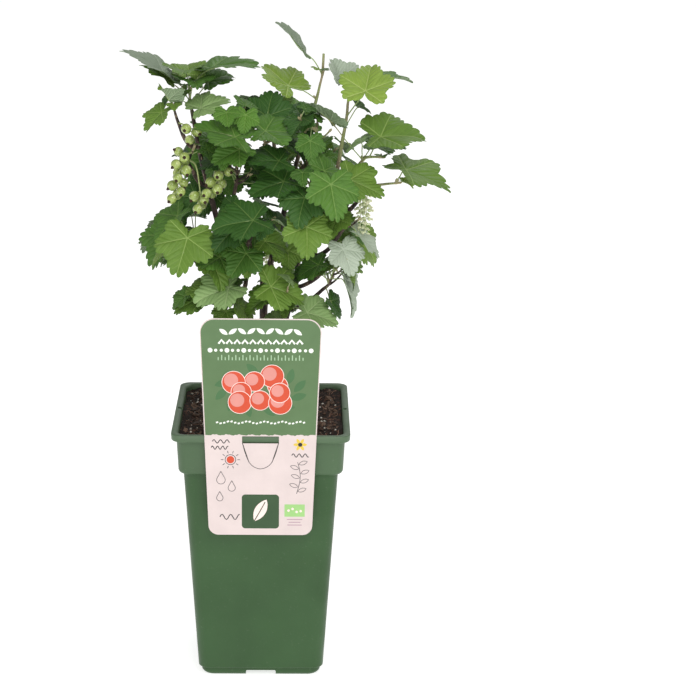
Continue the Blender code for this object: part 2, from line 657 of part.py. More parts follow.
def gap_trees():
    """Search trees of the straight ways through the crown that show the sky from the front."""
    trees = []
    for gap in SKY_GAPS:
        middle = Vector((gap.x, 0.0, gap.z))
        way = (middle - SEEN_FROM).normalized() * GAP_REACH
        trees.append(tree_of(rod_shape(middle - way, middle + way, gap.radius, VIEW_SIDES)))
    return trees


def view_tree(leaf):
    """A search tree of the straight way in front of a leaf that shows."""
    middle = leaf.junction + leaf.axis * leaf.width * VIEW_SHARE
    way = (SEEN_FROM - middle).normalized()
    return tree_of(rod_shape(middle + way * VIEW_START, middle + way * VIEW_REACH,
                             leaf.width * VIEW_RADIUS, VIEW_SIDES))


def kept_ways(leaves):
    """Search trees of every way that is kept free, once the leaves that show the most stand."""
    shown = [leaf for grown in leaves.values() for leaf in grown]
    return gap_trees() + [view_tree(leaf) for leaf in shown]


def edge_points(leaf):
    return [blade_point(leaf, angle, blade_reach(angle)) for angle in EDGE_ANGLES]


def behind_label(leaf):
    """Whether a leaf as low as the label keeps behind it."""
    low = [point for point in edge_points(leaf) if point.z < LABEL_TOP_Z + LABEL_ROOM]
    return all(point.y > LABEL_SLACK - LIP_HALF for point in low)


def in_space(mass, twig, leaf):
    """Whether a leaf keeps to the mass's own space, a ball round its twig."""
    centre = twig[0].lerp(twig[-1], 0.5)
    reach = (twig[-1] - twig[0]).length / 2 + mass.stalk + mass.blade * SPACE_REACH
    return all((point - centre).length < reach for point in edge_points(leaf))


def truss_trees(thread, berries):
    """Search trees of a truss, fatter than its thread and its berries."""
    trees = [tree_of(rod_shape(a, b, STRIG_RADIUS + CLEARANCE))
             for a, b in zip(thread, thread[1:])]
    across = Vector((BERRY_RADIUS, 0.0, 0.0))
    for berry in berries:
        room = rod_shape(berry - across, berry + across, BERRY_RADIUS + BERRY_ROOM, ROOM_SIDES)
        trees.append(tree_of(room))
    return trees


def grow_leaf(leaf, own, others):
    """Adds a leaf's room to the trees of what is taken, unless something is in its way."""
    room = STALK_RADIUS + CLEARANCE / 2
    blade = blade_shape(leaf, LEAF_THICKNESS + 2 * CLEARANCE, TRIAL_SCALE)
    if not behind_label(leaf) or touches(blade, own + others):
        return False
    if touches(rod_shape(leaf.root, leaf.junction, room), others):
        return False
    free = leaf.root.lerp(leaf.junction, STALK_ROOM)
    others += [tree_of(blade), tree_of(rod_shape(free, leaf.junction, room))]
    return True


def grow_keys(mass, twig, own, others):
    """Grows the leaves of a mass that show the most."""
    grown = [key_leaf(key, twig) for key in KEY_LEAVES if key.mass == mass.name]
    return [leaf for leaf in grown if grow_leaf(leaf, own, others)]


def grow_rest(mass, twig, own, others):
    """Grows a mass by its rule, leaf by leaf, and skips a leaf that finds no room."""
    dice = random.Random(mass.seed)
    tip_taken = any(key.mass == mass.name and key.share == 1.0 for key in KEY_LEAVES)
    last_share = LAST_SHARE if tip_taken else 1.0
    grown = []
    for i in range(mass.leaves):
        share = FIRST_SHARE + (last_share - FIRST_SHARE) * i / (mass.leaves - 1)
        bearing = math.radians(mass.bearing) + i * TURN
        for attempt in range(TRIES):
            leaf = try_leaf(mass, twig, share, bearing, attempt, dice)
            if in_space(mass, twig, leaf) and grow_leaf(leaf, own, others):
                grown.append(leaf)
                break
    return grown


def grow_masses(limbs):
    """Grows the twigs, then the trusses of berries, then the leaves, mass by mass."""
    wood = {name: limb_trees(limb.points, limb.foot_radius, limb.tip_radius)
            for name, limb in limbs.items()}
    twigs = {mass.name: twig_points(mass, limbs) for mass in MASSES}
    for name, twig in twigs.items():
        wood[name] = limb_trees(twig, TWIG_RADIUS, TWIG_TIP_RADIUS)
    taken = [tree for trees in wood.values() for tree in trees]
    trusses = {mass.name: [] for mass in MASSES}
    for truss in TRUSSES:
        grown = grow_truss(truss, twigs[truss.mass])
        trusses[truss.mass].append(grown)
        taken += truss_trees(*grown)
    leaves = {mass.name: [] for mass in MASSES}
    ways = []
    for grow in (grow_keys, grow_rest):
        for mass in MASSES:
            own = wood[mass.name] + wood[mass.bough]
            others = [tree for tree in taken if not any(tree is mine for mine in own)]
            count = len(others)
            leaves[mass.name] += grow(mass, twigs[mass.name], own + ways, others)
            taken += others[count:]
        ways = ways or kept_ways(leaves)
    return twigs, leaves, trusses


def grow_truss(truss, twig):
    """A hanging thread with its berries in a spiral round it."""
    start, _ = point_along(twig, truss.along)
    drop = Vector(truss.drop)
    elbow = start + Vector((drop.x, drop.y, 0.0)) * THREAD_OUT + UP * drop.z * THREAD_DROP
    thread = [start, elbow, start + drop]
    along = (thread[2] - elbow).normalized()
    side = along.orthogonal().normalized()
    other = along.cross(side)
    berries = []
    for i in range(truss.berries):
        place = thread[2] - along * (i * BERRY_STEP + FIRST_BERRY)
        turned = side * math.cos(i * TURN) + other * math.sin(i * TURN)
        berries.append(place + turned * BERRY_OFFSET)
    return thread, berries


def shape_object(name, shape, collection):
    bm = bmesh.new()
    verts = [bm.verts.new(point * MM) for point in shape[0]]
    for face in shape[1]:
        bm.faces.new([verts[i] for i in face])
    return link_object(name, mesh_from_bmesh(name, bm), collection)


def berry_object(name, place, collection):
    bm = bmesh.new()
    bmesh.ops.create_icosphere(bm, subdivisions=1, radius=BERRY_RADIUS * MM,
                               matrix=Matrix.Translation(place * MM))
    return link_object(name, mesh_from_bmesh(name, bm), collection)


def outer_body(mesh):
    """Leaves a mesh only its outer body: no loose scraps, and no walls of sealed hollows."""
    bm = bmesh.new()
    bm.from_mesh(mesh)
    bmesh.ops.remove_doubles(bm, verts=bm.verts, dist=WELD)
    bmesh.ops.dissolve_degenerate(bm, dist=WELD, edges=bm.edges)
    seen = set()
    bodies = []
    for start in bm.verts:
        if start in seen:
            continue
        seen.add(start)
        body = [start]
        for vert in body:
            for edge in vert.link_edges:
                other = edge.other_vert(vert)
                if other not in seen:
                    seen.add(other)
                    body.append(other)
        bodies.append(body)
    bodies.sort(key=len)
    for body in bodies[:-1]:
        bmesh.ops.delete(bm, geom=body, context="VERTS")
    bmesh.ops.triangulate(bm, faces=bm.faces)
    closed = all(edge.is_manifold for edge in bm.edges)
    bm.to_mesh(mesh)
    bm.free()
    return closed


def fuse(body, pieces):
    """Joins a body with a collection's pieces: EXACT, or MANIFOLD where that leaves it open."""
    union = body.modifiers.new("leaves", "BOOLEAN")
    union.operation = "UNION"
    union.operand_type = "COLLECTION"
    union.collection = pieces
    for solver in ("EXACT", "MANIFOLD"):
        union.solver = solver
        bpy.context.view_layer.update()
        depsgraph = bpy.context.evaluated_depsgraph_get()
        mesh = bpy.data.meshes.new_from_object(body.evaluated_get(depsgraph))
        if outer_body(mesh):
            break
    body.modifiers.remove(union)
    shade(mesh)
    body.data = mesh


def build_mass(mass, twig, leaves, trusses, collection, material):
    """Fuses a mass's twig, stalks, blades and berries into one body."""
    pieces = make_collection(mass.name + "_pieces")
    radii = radii_along(twig, TWIG_RADIUS, TWIG_TIP_RADIUS)
    body = to_mesh_object(tube(mass.name, twig, radii, 1, collection, material))
    for i, leaf in enumerate(leaves):
        inner = leaf.junction + leaf.axis * STALK_SINK
        shape_object(f"blade_{i}", blade_shape(leaf, LEAF_THICKNESS), pieces)
        shape_object(f"stalk_{i}", rod_shape(leaf.root, inner, STALK_RADIUS), pieces)
    for i, (thread, berries) in enumerate(trusses):
        thread_radii = [STRIG_RADIUS] * len(thread)
        to_mesh_object(tube(f"thread_{i}", thread, thread_radii, 0, pieces))
        for j, place in enumerate(berries):
            berry_object(f"berry_{i}_{j}", place, pieces)
    fuse(body, pieces)
    for item in list(pieces.objects):
        bpy.data.objects.remove(item, do_unlink=True)
    bpy.data.collections.remove(pieces)
    return body


def main():
    clear_scene()
    plant = make_collection("potted_currant_bush")
    cutters = make_collection("cutters")
    pot_plastic = make_material("pot_plastic", "4A6846", 0.45)
    card = make_material("label_card", "F0E4E2", 0.4)
    peat = make_material("peat", "33241C", 0.95)
    bark = make_material("bark", "5E4A3E", 0.85)
    leaf_green = make_material("leaf_green", "4F7A35", 0.55)

    build_pot(plant, cutters, pot_plastic)
    build_soil(plant, peat)
    build_label(plant, card)

    trunk = ((-0.6, 0.8, SOIL_TOP + GAP), (-0.5, 0.8, SOIL_TOP + 4), (0.0, 0.8, SOIL_TOP + 12),
             (0.0, 0.8, TRUNK_FORK_Z))
    flare = (TRUNK_FOOT_RADIUS, TRUNK_FOOT_RADIUS - 1.4, TRUNK_FORK_RADIUS, TRUNK_FORK_RADIUS)
    tube("trunk", trunk, flare, 3, plant, bark)
    limbs = all_limbs()
    for limb in limbs.values():
        radii = radii_along(limb.points, limb.foot_radius, limb.tip_radius)
        tube(limb.name, limb.points, radii, 2, plant, bark)
    twigs, leaves, trusses = grow_masses(limbs)
    for mass in MASSES:
        build_mass(mass, twigs[mass.name], leaves[mass.name], trusses[mass.name], plant,
                   leaf_green)
    print("leaves", sum(len(grown) for grown in leaves.values()))


if __name__ == "__main__":
    main()
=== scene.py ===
"""Dresses a potted currant bush: its pot, soil, label, wood, leaves, stalks and berries.

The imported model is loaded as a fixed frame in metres, with +Z up and the label facing -Y.  Sizes
here are in millimetres, and MM turns them into metres.  The shrub grows by the same rule as the
solids do, and then on to side shoots with smaller leaves.
"""
import json
import math
import random
from collections import namedtuple

import bmesh
import bpy
import numpy as np
from bpy.props import FloatProperty, FloatVectorProperty, IntProperty, PointerProperty
from mathutils import Matrix, Vector, noise
from mathutils.bvhtree import BVHTree

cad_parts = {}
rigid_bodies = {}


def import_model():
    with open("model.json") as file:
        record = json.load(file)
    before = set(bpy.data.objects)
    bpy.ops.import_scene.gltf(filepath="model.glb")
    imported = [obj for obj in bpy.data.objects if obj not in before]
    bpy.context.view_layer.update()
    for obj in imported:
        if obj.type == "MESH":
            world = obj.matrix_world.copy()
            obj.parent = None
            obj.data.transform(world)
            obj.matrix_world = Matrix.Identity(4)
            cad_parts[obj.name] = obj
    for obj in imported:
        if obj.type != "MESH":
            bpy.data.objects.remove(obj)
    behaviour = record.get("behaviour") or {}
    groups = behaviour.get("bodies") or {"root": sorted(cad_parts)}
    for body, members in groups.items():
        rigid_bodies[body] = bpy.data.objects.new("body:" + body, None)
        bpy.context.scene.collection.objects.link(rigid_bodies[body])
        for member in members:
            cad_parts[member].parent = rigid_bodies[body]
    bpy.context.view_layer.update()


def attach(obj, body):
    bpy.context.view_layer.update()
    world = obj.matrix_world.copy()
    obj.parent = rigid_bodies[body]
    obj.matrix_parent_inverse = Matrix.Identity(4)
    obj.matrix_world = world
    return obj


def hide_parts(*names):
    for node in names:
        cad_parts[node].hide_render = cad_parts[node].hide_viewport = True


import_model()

bl_info = {
    "name": "Potted Currant Bush",
    "version": (1, 0, 0),
    "blender": (4, 5, 0),
    "location": "3D View > Sidebar > Bush",
    "description": "Makes a currant bush in a nursery pot, piece by piece",
    "category": "Object",
}

MM = 0.001
GAP = 0.3
SMOOTH_ANGLE = math.radians(50)

# Camera: its place, turn, tilt, roll and lens, as the pot's edges give them
CAMERA_PLACE = (32.2, -1643.2, 766.8)
CAMERA_TURN = math.radians(1.44)
CAMERA_TILT = math.radians(16.39)
CAMERA_ROLL = math.radians(0.82)
CAMERA_LENS = 103.06

# Light: the floor's width in metres, the lamps with place, size and power, and the bright room
FLOOR_SIZE = 60.0
FLOOR_GLOW = 0.74
LIGHTS = (
    ("key_light", (0.5, -1.9, 2.3), 1.3, 30.0),
    ("fill_light", (-0.3, -2.6, 0.5), 1.6, 16.0),
    ("back_light", (0.5, 1.9, 2.3), 1.4, 14.0),
)
LIGHT_AIM = (0.0, 0.0, 0.30)
WORLD_STRENGTH = 0.45

# Pot: half widths across the flats, and heights above the underside
POT_HEIGHT = 228.4
LIP_HALF = 75.0
LIP_HEIGHT = 5.6
LIP_WIDTH = 4.0
COLLAR_TOP_HALF = 70.6
COLLAR_FOOT_HALF = 69.3
COLLAR_FOOT_Z = 193.1
BODY_TOP_HALF = 65.2
BODY_FOOT_HALF = 54.2
BODY_FOOT_Z = 7.6
FOOT_HALF = 47.9
FOOT_EDGE_HALF = 51.6
FOOT_RING = 12.0
WALL = 1.5
FLOOR = 9.2
CORNER_RADIUS = 9.0
CORNER_STEPS = 10
POT_FILLET = 1.1
FILLET_SHARE = 0.45

# Notches: each one's size in the foot's sides and in the lip, and how far its edges are rounded
FOOT_NOTCH = (26.0, 36.0, 9.2)
LIP_NOTCH = (5.0, 4.0, 5.0)
NOTCH_ROUND = 1.2

# Soil: its level, its half width at the top, its lumps, its bank at the walls and its crumbs
SOIL_TOP = 220.5
SOIL_HALF = 67.3
SOIL_LUMP = 1.0
SOIL_FLAT_RADIUS = 17.0
SOIL_GRID = 110
SOIL_REACH = 68.7
SOIL_BANK = 2.6
SOIL_BANK_WIDTH = 14.0
CRUMBS = ((0.11, 1.3), (0.33, 1.1), (0.85, 0.8))

# What is strewn on the soil: how much of it, its two shades, and how far it keeps from the edge
FIBRE_COUNT = 260
PERLITE_COUNT = 190
CHIP_SHADES = ("33271F", "7C6250")
FIBRE_SHADES = ("6E4E3E", "B08C76")
PERLITE_SHADES = ("A79F90", "E4E0D6")
SOIL_EDGE = 2.0

# Label: a plastic card whose window lets the pot's lip show
LABEL_TOP_Z = 330.0
LABEL_FOOT_Z = 141.0
LABEL_TOP_HALF = 50.0
LABEL_FOOT_HALF = 43.6
LABEL_TOP_RADIUS = 12.0
LABEL_FOOT_RADIUS = 8.5
LABEL_THICKNESS = 0.6
LABEL_BORDER = 0.9
PRINT_FOOT_Z = 229.8
PRINT_THICKNESS = 0.03
WINDOW_HALF = 15.3
WINDOW_TOP_Z = 228.6
WINDOW_FOOT_Z = 222.4
SLIT_WIDTH = 0.7
SLIT_FOOT_Z = 205.5
SLIT_FOOT_HALF = 9.2
INKS = {
    "white": "F2F6EC", "pale": "FBE3DC", "pale_green": "A9C7A2", "leaf_ink": "3F6B3C",
    "rose": "DA8E84", "dark": "4A4446", "black": "201C1E", "yellow": "E0C040",
    "deep_green": "2A4A26", "lime": "9CCB7C", "mauve": "B08C9C",
}

# Seeds of what is strewn, and of what varies from leaf to leaf and from berry to berry
SOIL_SEED = 3
STALK_SEED = 11
BERRY_SEED = 21
STRING_SEED = 31
SHOOT_SEED = 40
LEAF_SEED = 100
TIP_SEED = 700

# Shrub: the foot of the stems, and how thick the smallest wood is
TRUNK_FOOT_RADIUS = 10.5
TRUNK_FORK_RADIUS = 8.6
TRUNK_FORK_Z = 240.0
BOUGH_STEP = 2.0
BOUGH_BEND = 0.45
BOUGH_SAG = 0.06
BOUGH_TIP_RADIUS = 1.7
TWIG_TURN = 0.3
TWIG_BOW = 0.6
TWIG_RADIUS = 1.5
TWIG_TIP_RADIUS = 0.9
STALK_RADIUS = 0.9
LEAF_THICKNESS = 1.3

# Leaf: a five-lobed blade, as shares of its width measured from the stalk's end
LOBE_SPACING = math.radians(62.5)
TIP_REACH = 0.72
REACH_LOSS = 0.135
SINUS_DEPTH = 0.20
NOTCH_START = math.radians(140)
NOTCH_REACH = 0.06
OUTLINE_POINTS = 16

# Growth: the turn from leaf to leaf, the side that the light comes from, and the lowest leaf
TURN = math.radians(137.5)
LIGHT = Vector((0.10, -0.42, 0.0))
UP = Vector((0.0, 0.0, 1.0))
FIRST_SHARE = 0.22
LAST_SHARE = 0.85

# Each leaf's tries, which spread further each time, and the room that it keeps
TRIES = 40
SPREAD = 14.0
SPREAD_STEP = 2.2
CLEARANCE = 0.9
TRIAL_SCALE = 1.04
STALK_ROOM = 0.15
ROOM_SIDES = 8
LABEL_ROOM = 6.0
LABEL_SLACK = 3.0
SPACE_REACH = 0.8
EDGE_ANGLES = (-2.2, -1.1, 0.0, 1.1, 2.2)

# The front view that the gaps and the leaves that show the most are lined up with, and the way
# kept free in front of each such leaf: from where to where, its radius, its place on the blade
SEEN_FROM = Vector((32.0, -1643.0, 767.0))
GAP_REACH = 120.0
VIEW_START = 6.0
VIEW_REACH = 24.0
VIEW_RADIUS = 0.1
VIEW_SHARE = 0.3
VIEW_SIDES = 6

# Each stalk: its rise in degrees at the twig's foot and tip, and how its length falls off
FOOT_LIFT = 12.0
LIFT_GAIN = 40.0
LEAN_LIFT = 36.0
TWIG_PULL = 0.15
STALK_FOOT = 1.1
STALK_LOSS = 0.45
STALK_SWAYS = (0.85, 1.15)

# Each blade: its width along the twig, how it faces, and how it bends
BLADE_FOOT = 1.06
BLADE_LOSS = 0.24
BLADE_SWAYS = (0.84, 1.08)
LEANS = (-0.15, 0.25)
SWAYS = (-0.25, 0.25)
LIGHT_SHARE = 0.3
FOLDS = (0.10, 0.38)
CURLS = (0.10, 0.50)
YOUNG_LEAN = 1.3
YOUNG_FOLD = 0.8

# Berries: their size, and the thread that they hang on
BERRY_RADIUS = 4.4
BERRY_STEP = 3.5
BERRY_OFFSET = 4.7
BERRY_ROOM = 0.6
FIRST_BERRY = 1.0
STRIG_RADIUS = 0.8
THREAD_OUT = 0.6
THREAD_DROP = 0.15

# What the bush shows of them: each berry's share of the size, its stalk and its dry tuft
BERRY_SIZES = (0.88, 1.04)
STRIG_RADII = (0.75, 0.4)
PEDICEL_RADIUS = 0.38
TUFT_STEPS = (0.90, 1.05, 1.22, 1.40)
TUFT_RADII = (1.55, 1.35, 1.05, 0.50)

Limb = namedtuple("Limb", "name points foot_radius tip_radius")
Bough = namedtuple("Bough", "name parent height tip foot_radius")
Mass = namedtuple("Mass", "name limb tip leaves blade stalk lean bearing seed shades shown")
KeyLeaf = namedtuple("KeyLeaf", "mass share place bearing lean light width fold shade",
                     defaults=[None])
Truss = namedtuple("Truss", "mass along drop berries")
Leaf = namedtuple("Leaf", "root junction axis side normal width fold curl")
Bush = namedtuple("Bush", "limbs twigs leaves trusses sprays late")


def new_mass(name, stem, tip, leaves, blade, stalk, lean, bearing, seed, shades, shown=""):
    """A mass of leaves on a stem or, where none is named, on the bough of its own name."""
    return Mass(name, stem or "bough_" + name, tip, leaves, blade, stalk, lean, bearing, seed,
                shades.split(), shown.split())


STEMS = (
    Limb("stem_left", ((-4.0, -1.6, 240.3), (-4.2, -1.7, 246), (-13, -4, 290), (-24, -7, 340),
                       (-39, -12, 402), (-51, -15, 451), (-58, -15, 490)), 3.7, 2.2),
    Limb("stem_centre", ((0.0, 5.2, 240.3), (0.0, 5.2, 246), (0, 2, 295), (5, -4, 350),
                         (17, -6, 400), (30, -5, 452), (41, -1, 487)), 3.6, 2.0),
    Limb("stem_right", ((4.0, -1.6, 240.3), (4.2, -1.7, 246), (11, -6, 290), (22, -11, 333),
                        (43, -15, 373), (60, -15, 432), (67, -15, 472)), 3.7, 2.1),
)

# Each bough leaves its parent at a height and runs to its tip, where its mass of leaves begins
BOUGHS = [Bough("bough_" + name, *row) for name, *row in (
    ("back_left", "stem_left", 264, (-38, 46, 418), 2.9),
    ("back_right", "stem_right", 262, (42, 48, 416), 2.9),
    ("back_low", "stem_centre", 270, (-2, 56, 344), 2.6),
    ("back_top", "stem_centre", 418, (8, 36, 460), 2.2),
    ("side_left", "bough_back_left", 330, (-66, 28, 362), 2.1),
    ("side_right", "bough_back_right", 330, (60, 28, 356), 2.1),
    ("left_high", "stem_left", 462, (-68, -24, 480), 2.0),
    ("left_mid", "stem_left", 430, (-58, -32, 446), 2.1),
    ("left_low", "stem_left", 348, (-54, -26, 370), 2.3),
    ("left_foot", "stem_left", 305, (-34, -28, 324), 2.3),
    ("centre_high", "stem_centre", 425, (4, -30, 460), 2.2),
    ("heart_left", "stem_left", 398, (-22, -26, 428), 2.1),
    ("heart_right", "stem_centre", 440, (44, -26, 466), 2.0),
    ("heart_low", "stem_left", 332, (-12, -34, 366), 2.2),
    ("front_right", "stem_centre", 392, (38, -44, 422), 2.2),
    ("front_mid", "stem_left", 362, (-8, -54, 394), 2.3),
    ("front_low", "stem_centre", 296, (18, -38, 322), 2.3),
    ("right_high", "stem_right", 438, (82, -22, 450), 2.1),
    ("far_right", "stem_right", 402, (84, -18, 422), 2.1),
    ("right_mid", "stem_right", 372, (66, -34, 394), 2.2),
    ("right_low", "stem_right", 328, (52, -30, 344), 2.2),
)]

# Each mass: its stem if it has one, its twig's tip, its leaves' count, width, stalk, lean, first
# bearing and seed, their shades (the first on most), and the shades of those that show the most
# The shades are partly the leaves' own tone and partly painted light: masses inside the crown wear
# the darker shades as painted shade, and low leaves at the front wear the paler ones as painted
# light.
MASSES = [new_mass(*row) for row in (
    ("left_top", "stem_left", (-60, -15, 506), 6, 42, 28, -0.35, 242, 5, "fresh mid",
     "grey mid pale"),
    ("top_centre", "stem_centre", (49, 0, 518), 0, 34, 22, -0.45, 215, 4, "bright fresh",
     "grey bright"),
    ("right_top", "stem_right", (71, -15, 508), 2, 36, 22, -0.40, 300, 12, "bright mid",
     "bright mid silver"),
    ("right_high", "", (96, -26, 455), 2, 36, 20, -0.10, 200, 6, "fresh mid", "silver fresh mid"),
    ("far_right", "", (110, -20, 432), 0, 38, 26, 0.30, -6, 15, "bright fresh", "fresh fresh"),
    ("left_high", "", (-72, -28, 494), 3, 30, 18, 0.20, 290, 8, "fresh bright", "fresh"),
    ("centre_high", "", (-28, -36, 488), 9, 44, 26, 0.40, 250, 10, "deep mid",
     "deep mid mid deep mid"),
    ("heart_right", "", (40, -34, 482), 7, 34, 22, 0.40, 250, 10, "deep mid"),
    ("front_right", "", (44, -56, 440), 8, 38, 22, 0.60, 260, 1, "deep mid", "mid fresh deep"),
    ("front_mid", "", (-8, -68, 416), 8, 38, 22, 0.60, 240, 13, "deep deep", "deep"),
    ("heart_left", "", (-20, -36, 448), 9, 36, 24, 0.50, 260, 14, "deep mid"),
    ("left_mid", "", (-56, -40, 462), 6, 30, 20, 0.50, 290, 11, "mid fresh"),
    ("left_low", "", (-58, -34, 378), 8, 36, 22, 0.60, 200, 8, "fresh mid", "fresh mid"),
    ("left_foot", "", (-44, -34, 338), 8, 36, 22, 0.60, 215, 13, "fresh mid", "pale"),
    ("heart_low", "", (2, -40, 384), 9, 36, 22, 0.60, 260, 8, "fresh mid"),
    ("front_low", "", (20, -44, 344), 9, 34, 22, 0.60, 300, 6, "pale fresh", "fresh pale"),
    ("right_mid", "", (68, -36, 414), 8, 34, 20, 0.50, 260, 9, "fresh mid"),
    ("right_low", "", (60, -34, 360), 8, 34, 20, 0.70, 330, 7, "mid fresh", "silver"),
    ("back_top", "", (4, 44, 476), 6, 40, 24, 0.50, 70, 15, "mid fresh"),
    ("back_left", "", (-44, 54, 450), 8, 46, 28, 0.50, 120, 1, "mid deep"),
    ("back_right", "", (50, 58, 448), 8, 46, 28, 0.50, 90, 3, "mid fresh"),
    ("back_low", "", (-2, 70, 366), 7, 46, 28, 0.90, 80, 2, "mid deep"),
    ("side_left", "", (-68, 34, 386), 6, 42, 22, 0.75, 150, 10, "mid fresh"),
    ("side_right", "", (66, 34, 380), 6, 42, 22, 0.75, 50, 15, "fresh mid"),
)]
MASS_NAMES = [mass.name for mass in MASSES]

# Leaves that show the most: where the stalk leaves the twig, where the blade begins, the bearing
# that it points to, how far it leans out and turns to the light, its width and its fold
KEY_LEAVES = [KeyLeaf(*row) for row in (
    ("left_top", 0.85, (-80, -16, 521), 182, -0.7, 0.0, 54, 0.15),
    ("left_top", 1.00, (-42, -16, 526), -2, -0.2, 0.0, 54, 0.15),
    ("left_top", 0.10, (-50, -30, 495), 25, -0.4, 0.8, 34, 0.15),
    ("left_high", 0.90, (-82, -30, 491), 215, 0.8, 0.2, 28, 0.15),
    ("top_centre", 1.00, (30, 0, 541), 180, -1.4, 0.0, 38, 0.20),
    ("top_centre", 0.35, (21, 8, 508), 140, -0.5, 0.5, 42, 0.20),
    ("right_top", 0.40, (84, -28, 510), 80, -0.8, 0.3, 43, 0.15),
    ("right_top", 0.80, (97, 6, 516), 5, 0.0, 0.0, 38, 0.20),
    ("right_high", 0.10, (56, -26, 485), 205, -0.9, -0.3, 38, 0.20),
    ("right_high", 0.50, (97, -30, 473), 10, -0.1, 1.0, 52, 0.25),
    ("right_high", 0.10, (93, -8, 463), 5, 0.0, 0.5, 37, 0.10),
    ("far_right", 0.05, (72, -50, 441), -20, 0.2, 1.2, 42, 0.20),
    ("far_right", 1.00, (119, -21, 444), -18, 0.25, 0.2, 56, 0.15),
    ("front_right", 0.90, (56, -84, 444), 285, 1.4, 0.4, 41, 0.10),
    ("front_right", 0.30, (37, -80, 408), 275, 1.0, 0.4, 38, 0.15),
    ("front_mid", 0.60, (-6, -88, 415), 190, 0.2, 1.1, 46, 0.15),
    ("front_right", 0.90, (18, -60, 441), 200, 0.3, 1.0, 42, 0.15),
    ("left_low", 0.90, (-60, -62, 394), 260, 0.9, 0.8, 46, 0.10),
    ("left_low", 0.70, (-34, -54, 376), 165, -0.3, 1.6, 38, 0.15),
    ("left_foot", 1.00, (-27, -52, 350), 205, 0.3, 1.2, 42, 0.15),
    ("front_low", 1.00, (8, -60, 353), -10, 0.2, 2.0, 42, 0.15),
    ("front_low", 0.50, (38, -52, 329), -10, 0.1, 1.4, 38, 0.20),
    ("right_low", 0.60, (69, -37, 353), -10, 3.0, 0.2, 46, 0.30),
    ("centre_high", 0.20, (4, -25, 488), 80, -1.0, 0.3, 38, 0.10),
    ("centre_high", 0.40, (-21, -60, 477), 172, -0.2, 0.9, 48, 0.15),
    ("centre_high", 0.10, (3, -48, 480), 10, 0.0, 1.0, 44, 0.15),
    ("centre_high", 0.05, (14, -56, 457), 195, -0.1, 0.9, 38, 0.15),
    ("centre_high", 0.50, (-18, -56, 466), 215, 0.3, 1.3, 34, 0.15),
)]

# Leaves that only the dressed bush has room for, as thin as real ones, and their shades
# The leaves behind the crown's gaps wear dark shades, partly as painted shade.
LATE_LEAVES = [KeyLeaf(*row) for row in (
    ("heart_left", 0.10, (-36, -22, 458), 250, 1.5, 1.0, 32, 0.10, "mid"),
    ("back_left", 0.90, (-14, 18, 444), 262, 1.5, 1.0, 32, 0.10, "deep"),
    ("back_left", 0.95, (-16, 8, 440), 270, 1.6, 1.0, 24, 0.10, "mid"),
    ("back_left", 0.60, (-30, 10, 424), 262, 1.5, 1.0, 30, 0.10, "deep"),
    ("side_left", 0.90, (-44, 4, 418), 255, 1.5, 1.0, 30, 0.10, "mid"),
    ("heart_low", 0.60, (19, -36, 380), 300, 1.2, 1.0, 26, 0.10, "fresh"),
    ("left_foot", 0.90, (-64, -36, 338), 200, 1.0, 0.6, 22, 0.20, "mid"),
    ("front_low", 0.05, (14, -54, 323), 180, 0.5, 1.0, 26, 0.10, "pale"),
    ("left_foot", 0.10, (-22, -38, 330), 220, 1.0, 1.0, 22, 0.10, "fresh"),
    ("left_low", 0.20, (-50, -24, 412), 220, 1.2, 0.8, 30, 0.10, "deep"),
    ("left_low", 0.40, (-72, -28, 404), 200, 0.9, 0.3, 38, 0.20, "mid"),
    ("right_mid", 0.60, (80, -32, 398), -10, 0.9, 0.3, 36, 0.20, "silver"),
    ("right_low", 0.30, (47, -45, 368), 190, 0.6, 0.8, 30, 0.15, "mid"),
    ("right_low", 0.50, (66, -51, 383), 300, 1.2, 0.8, 32, 0.15, "silver"),
    ("right_low", 0.10, (60, -36, 338), 330, 1.6, 0.8, 26, 0.20, "deep"),
    ("right_high", 0.05, (72, -24, 470), 170, 0.8, 0.8, 28, 0.10, "pale"),
    ("heart_right", 0.95, (36, -50, 476), 280, 1.3, 1.0, 24, 0.10, "mid"),
    ("centre_high", 0.95, (-28, -43, 491), 250, 1.3, 1.0, 22, 0.10, "mid"),
    ("right_top", 0.10, (79, -12, 495), 10, 0.5, 0.6, 18, 0.20, "mid"),
    ("left_top", 0.30, (-64, -18, 505), 200, 1.2, 0.6, 20, 0.20, "fresh"),
    ("left_top", 0.20, (-78, -18, 500), 190, 1.4, 0.5, 16, 0.20, "deep"),
    ("back_left", 0.95, (-24, 2, 440), 255, 1.6, 1.0, 22, 0.10, "mid"),
    ("left_low", 0.05, (-46, -10, 404), 230, 1.4, 0.8, 22, 0.10, "mid"),
)]
LATE_ROOM = 0.5
LATE_SPREAD = 0.6
LATE_TURN = 1.5

# Gaps that show the sky from the front: place at the crown's middle, and radius
SKY_GAPS = (
    (-12, 514, 9), (36, 503, 7), (57, 500, 7), (56, 475, 8),
    (81, 453, 6), (113, 450, 7), (-19, 441, 4), (29, 444, 4),
    (-17, 416, 4), (-55, 392, 5), (-5, 404, 3), (39, 426, 3),
    (83, 405, 8), (7, 350, 4), (-16, 333, 4), (3, 317, 4),
    (41, 335, 9), (66, 337, 6), (-67, 347, 6), (52, 372, 4),
    (-30, 500, 6), (-92, 470, 10), (-92, 500, 8), (95, 495, 6),
)

# Each truss: its mass, how far along the twig it hangs, where it drops to, and its berries
TRUSSES = [Truss(*row) for row in (
    ("left_high", 0.10, (14, -20, -8), 3),
    ("left_mid", 0.90, (-13, -12, -38), 12),
    ("left_mid", 0.45, (11, -18, -38), 4),
    ("heart_left", 0.90, (-22, -20, -20), 8),
    ("back_left", 0.20, (-20, 12, -36), 8),
    ("back_right", 0.20, (16, 16, -36), 8),
)]

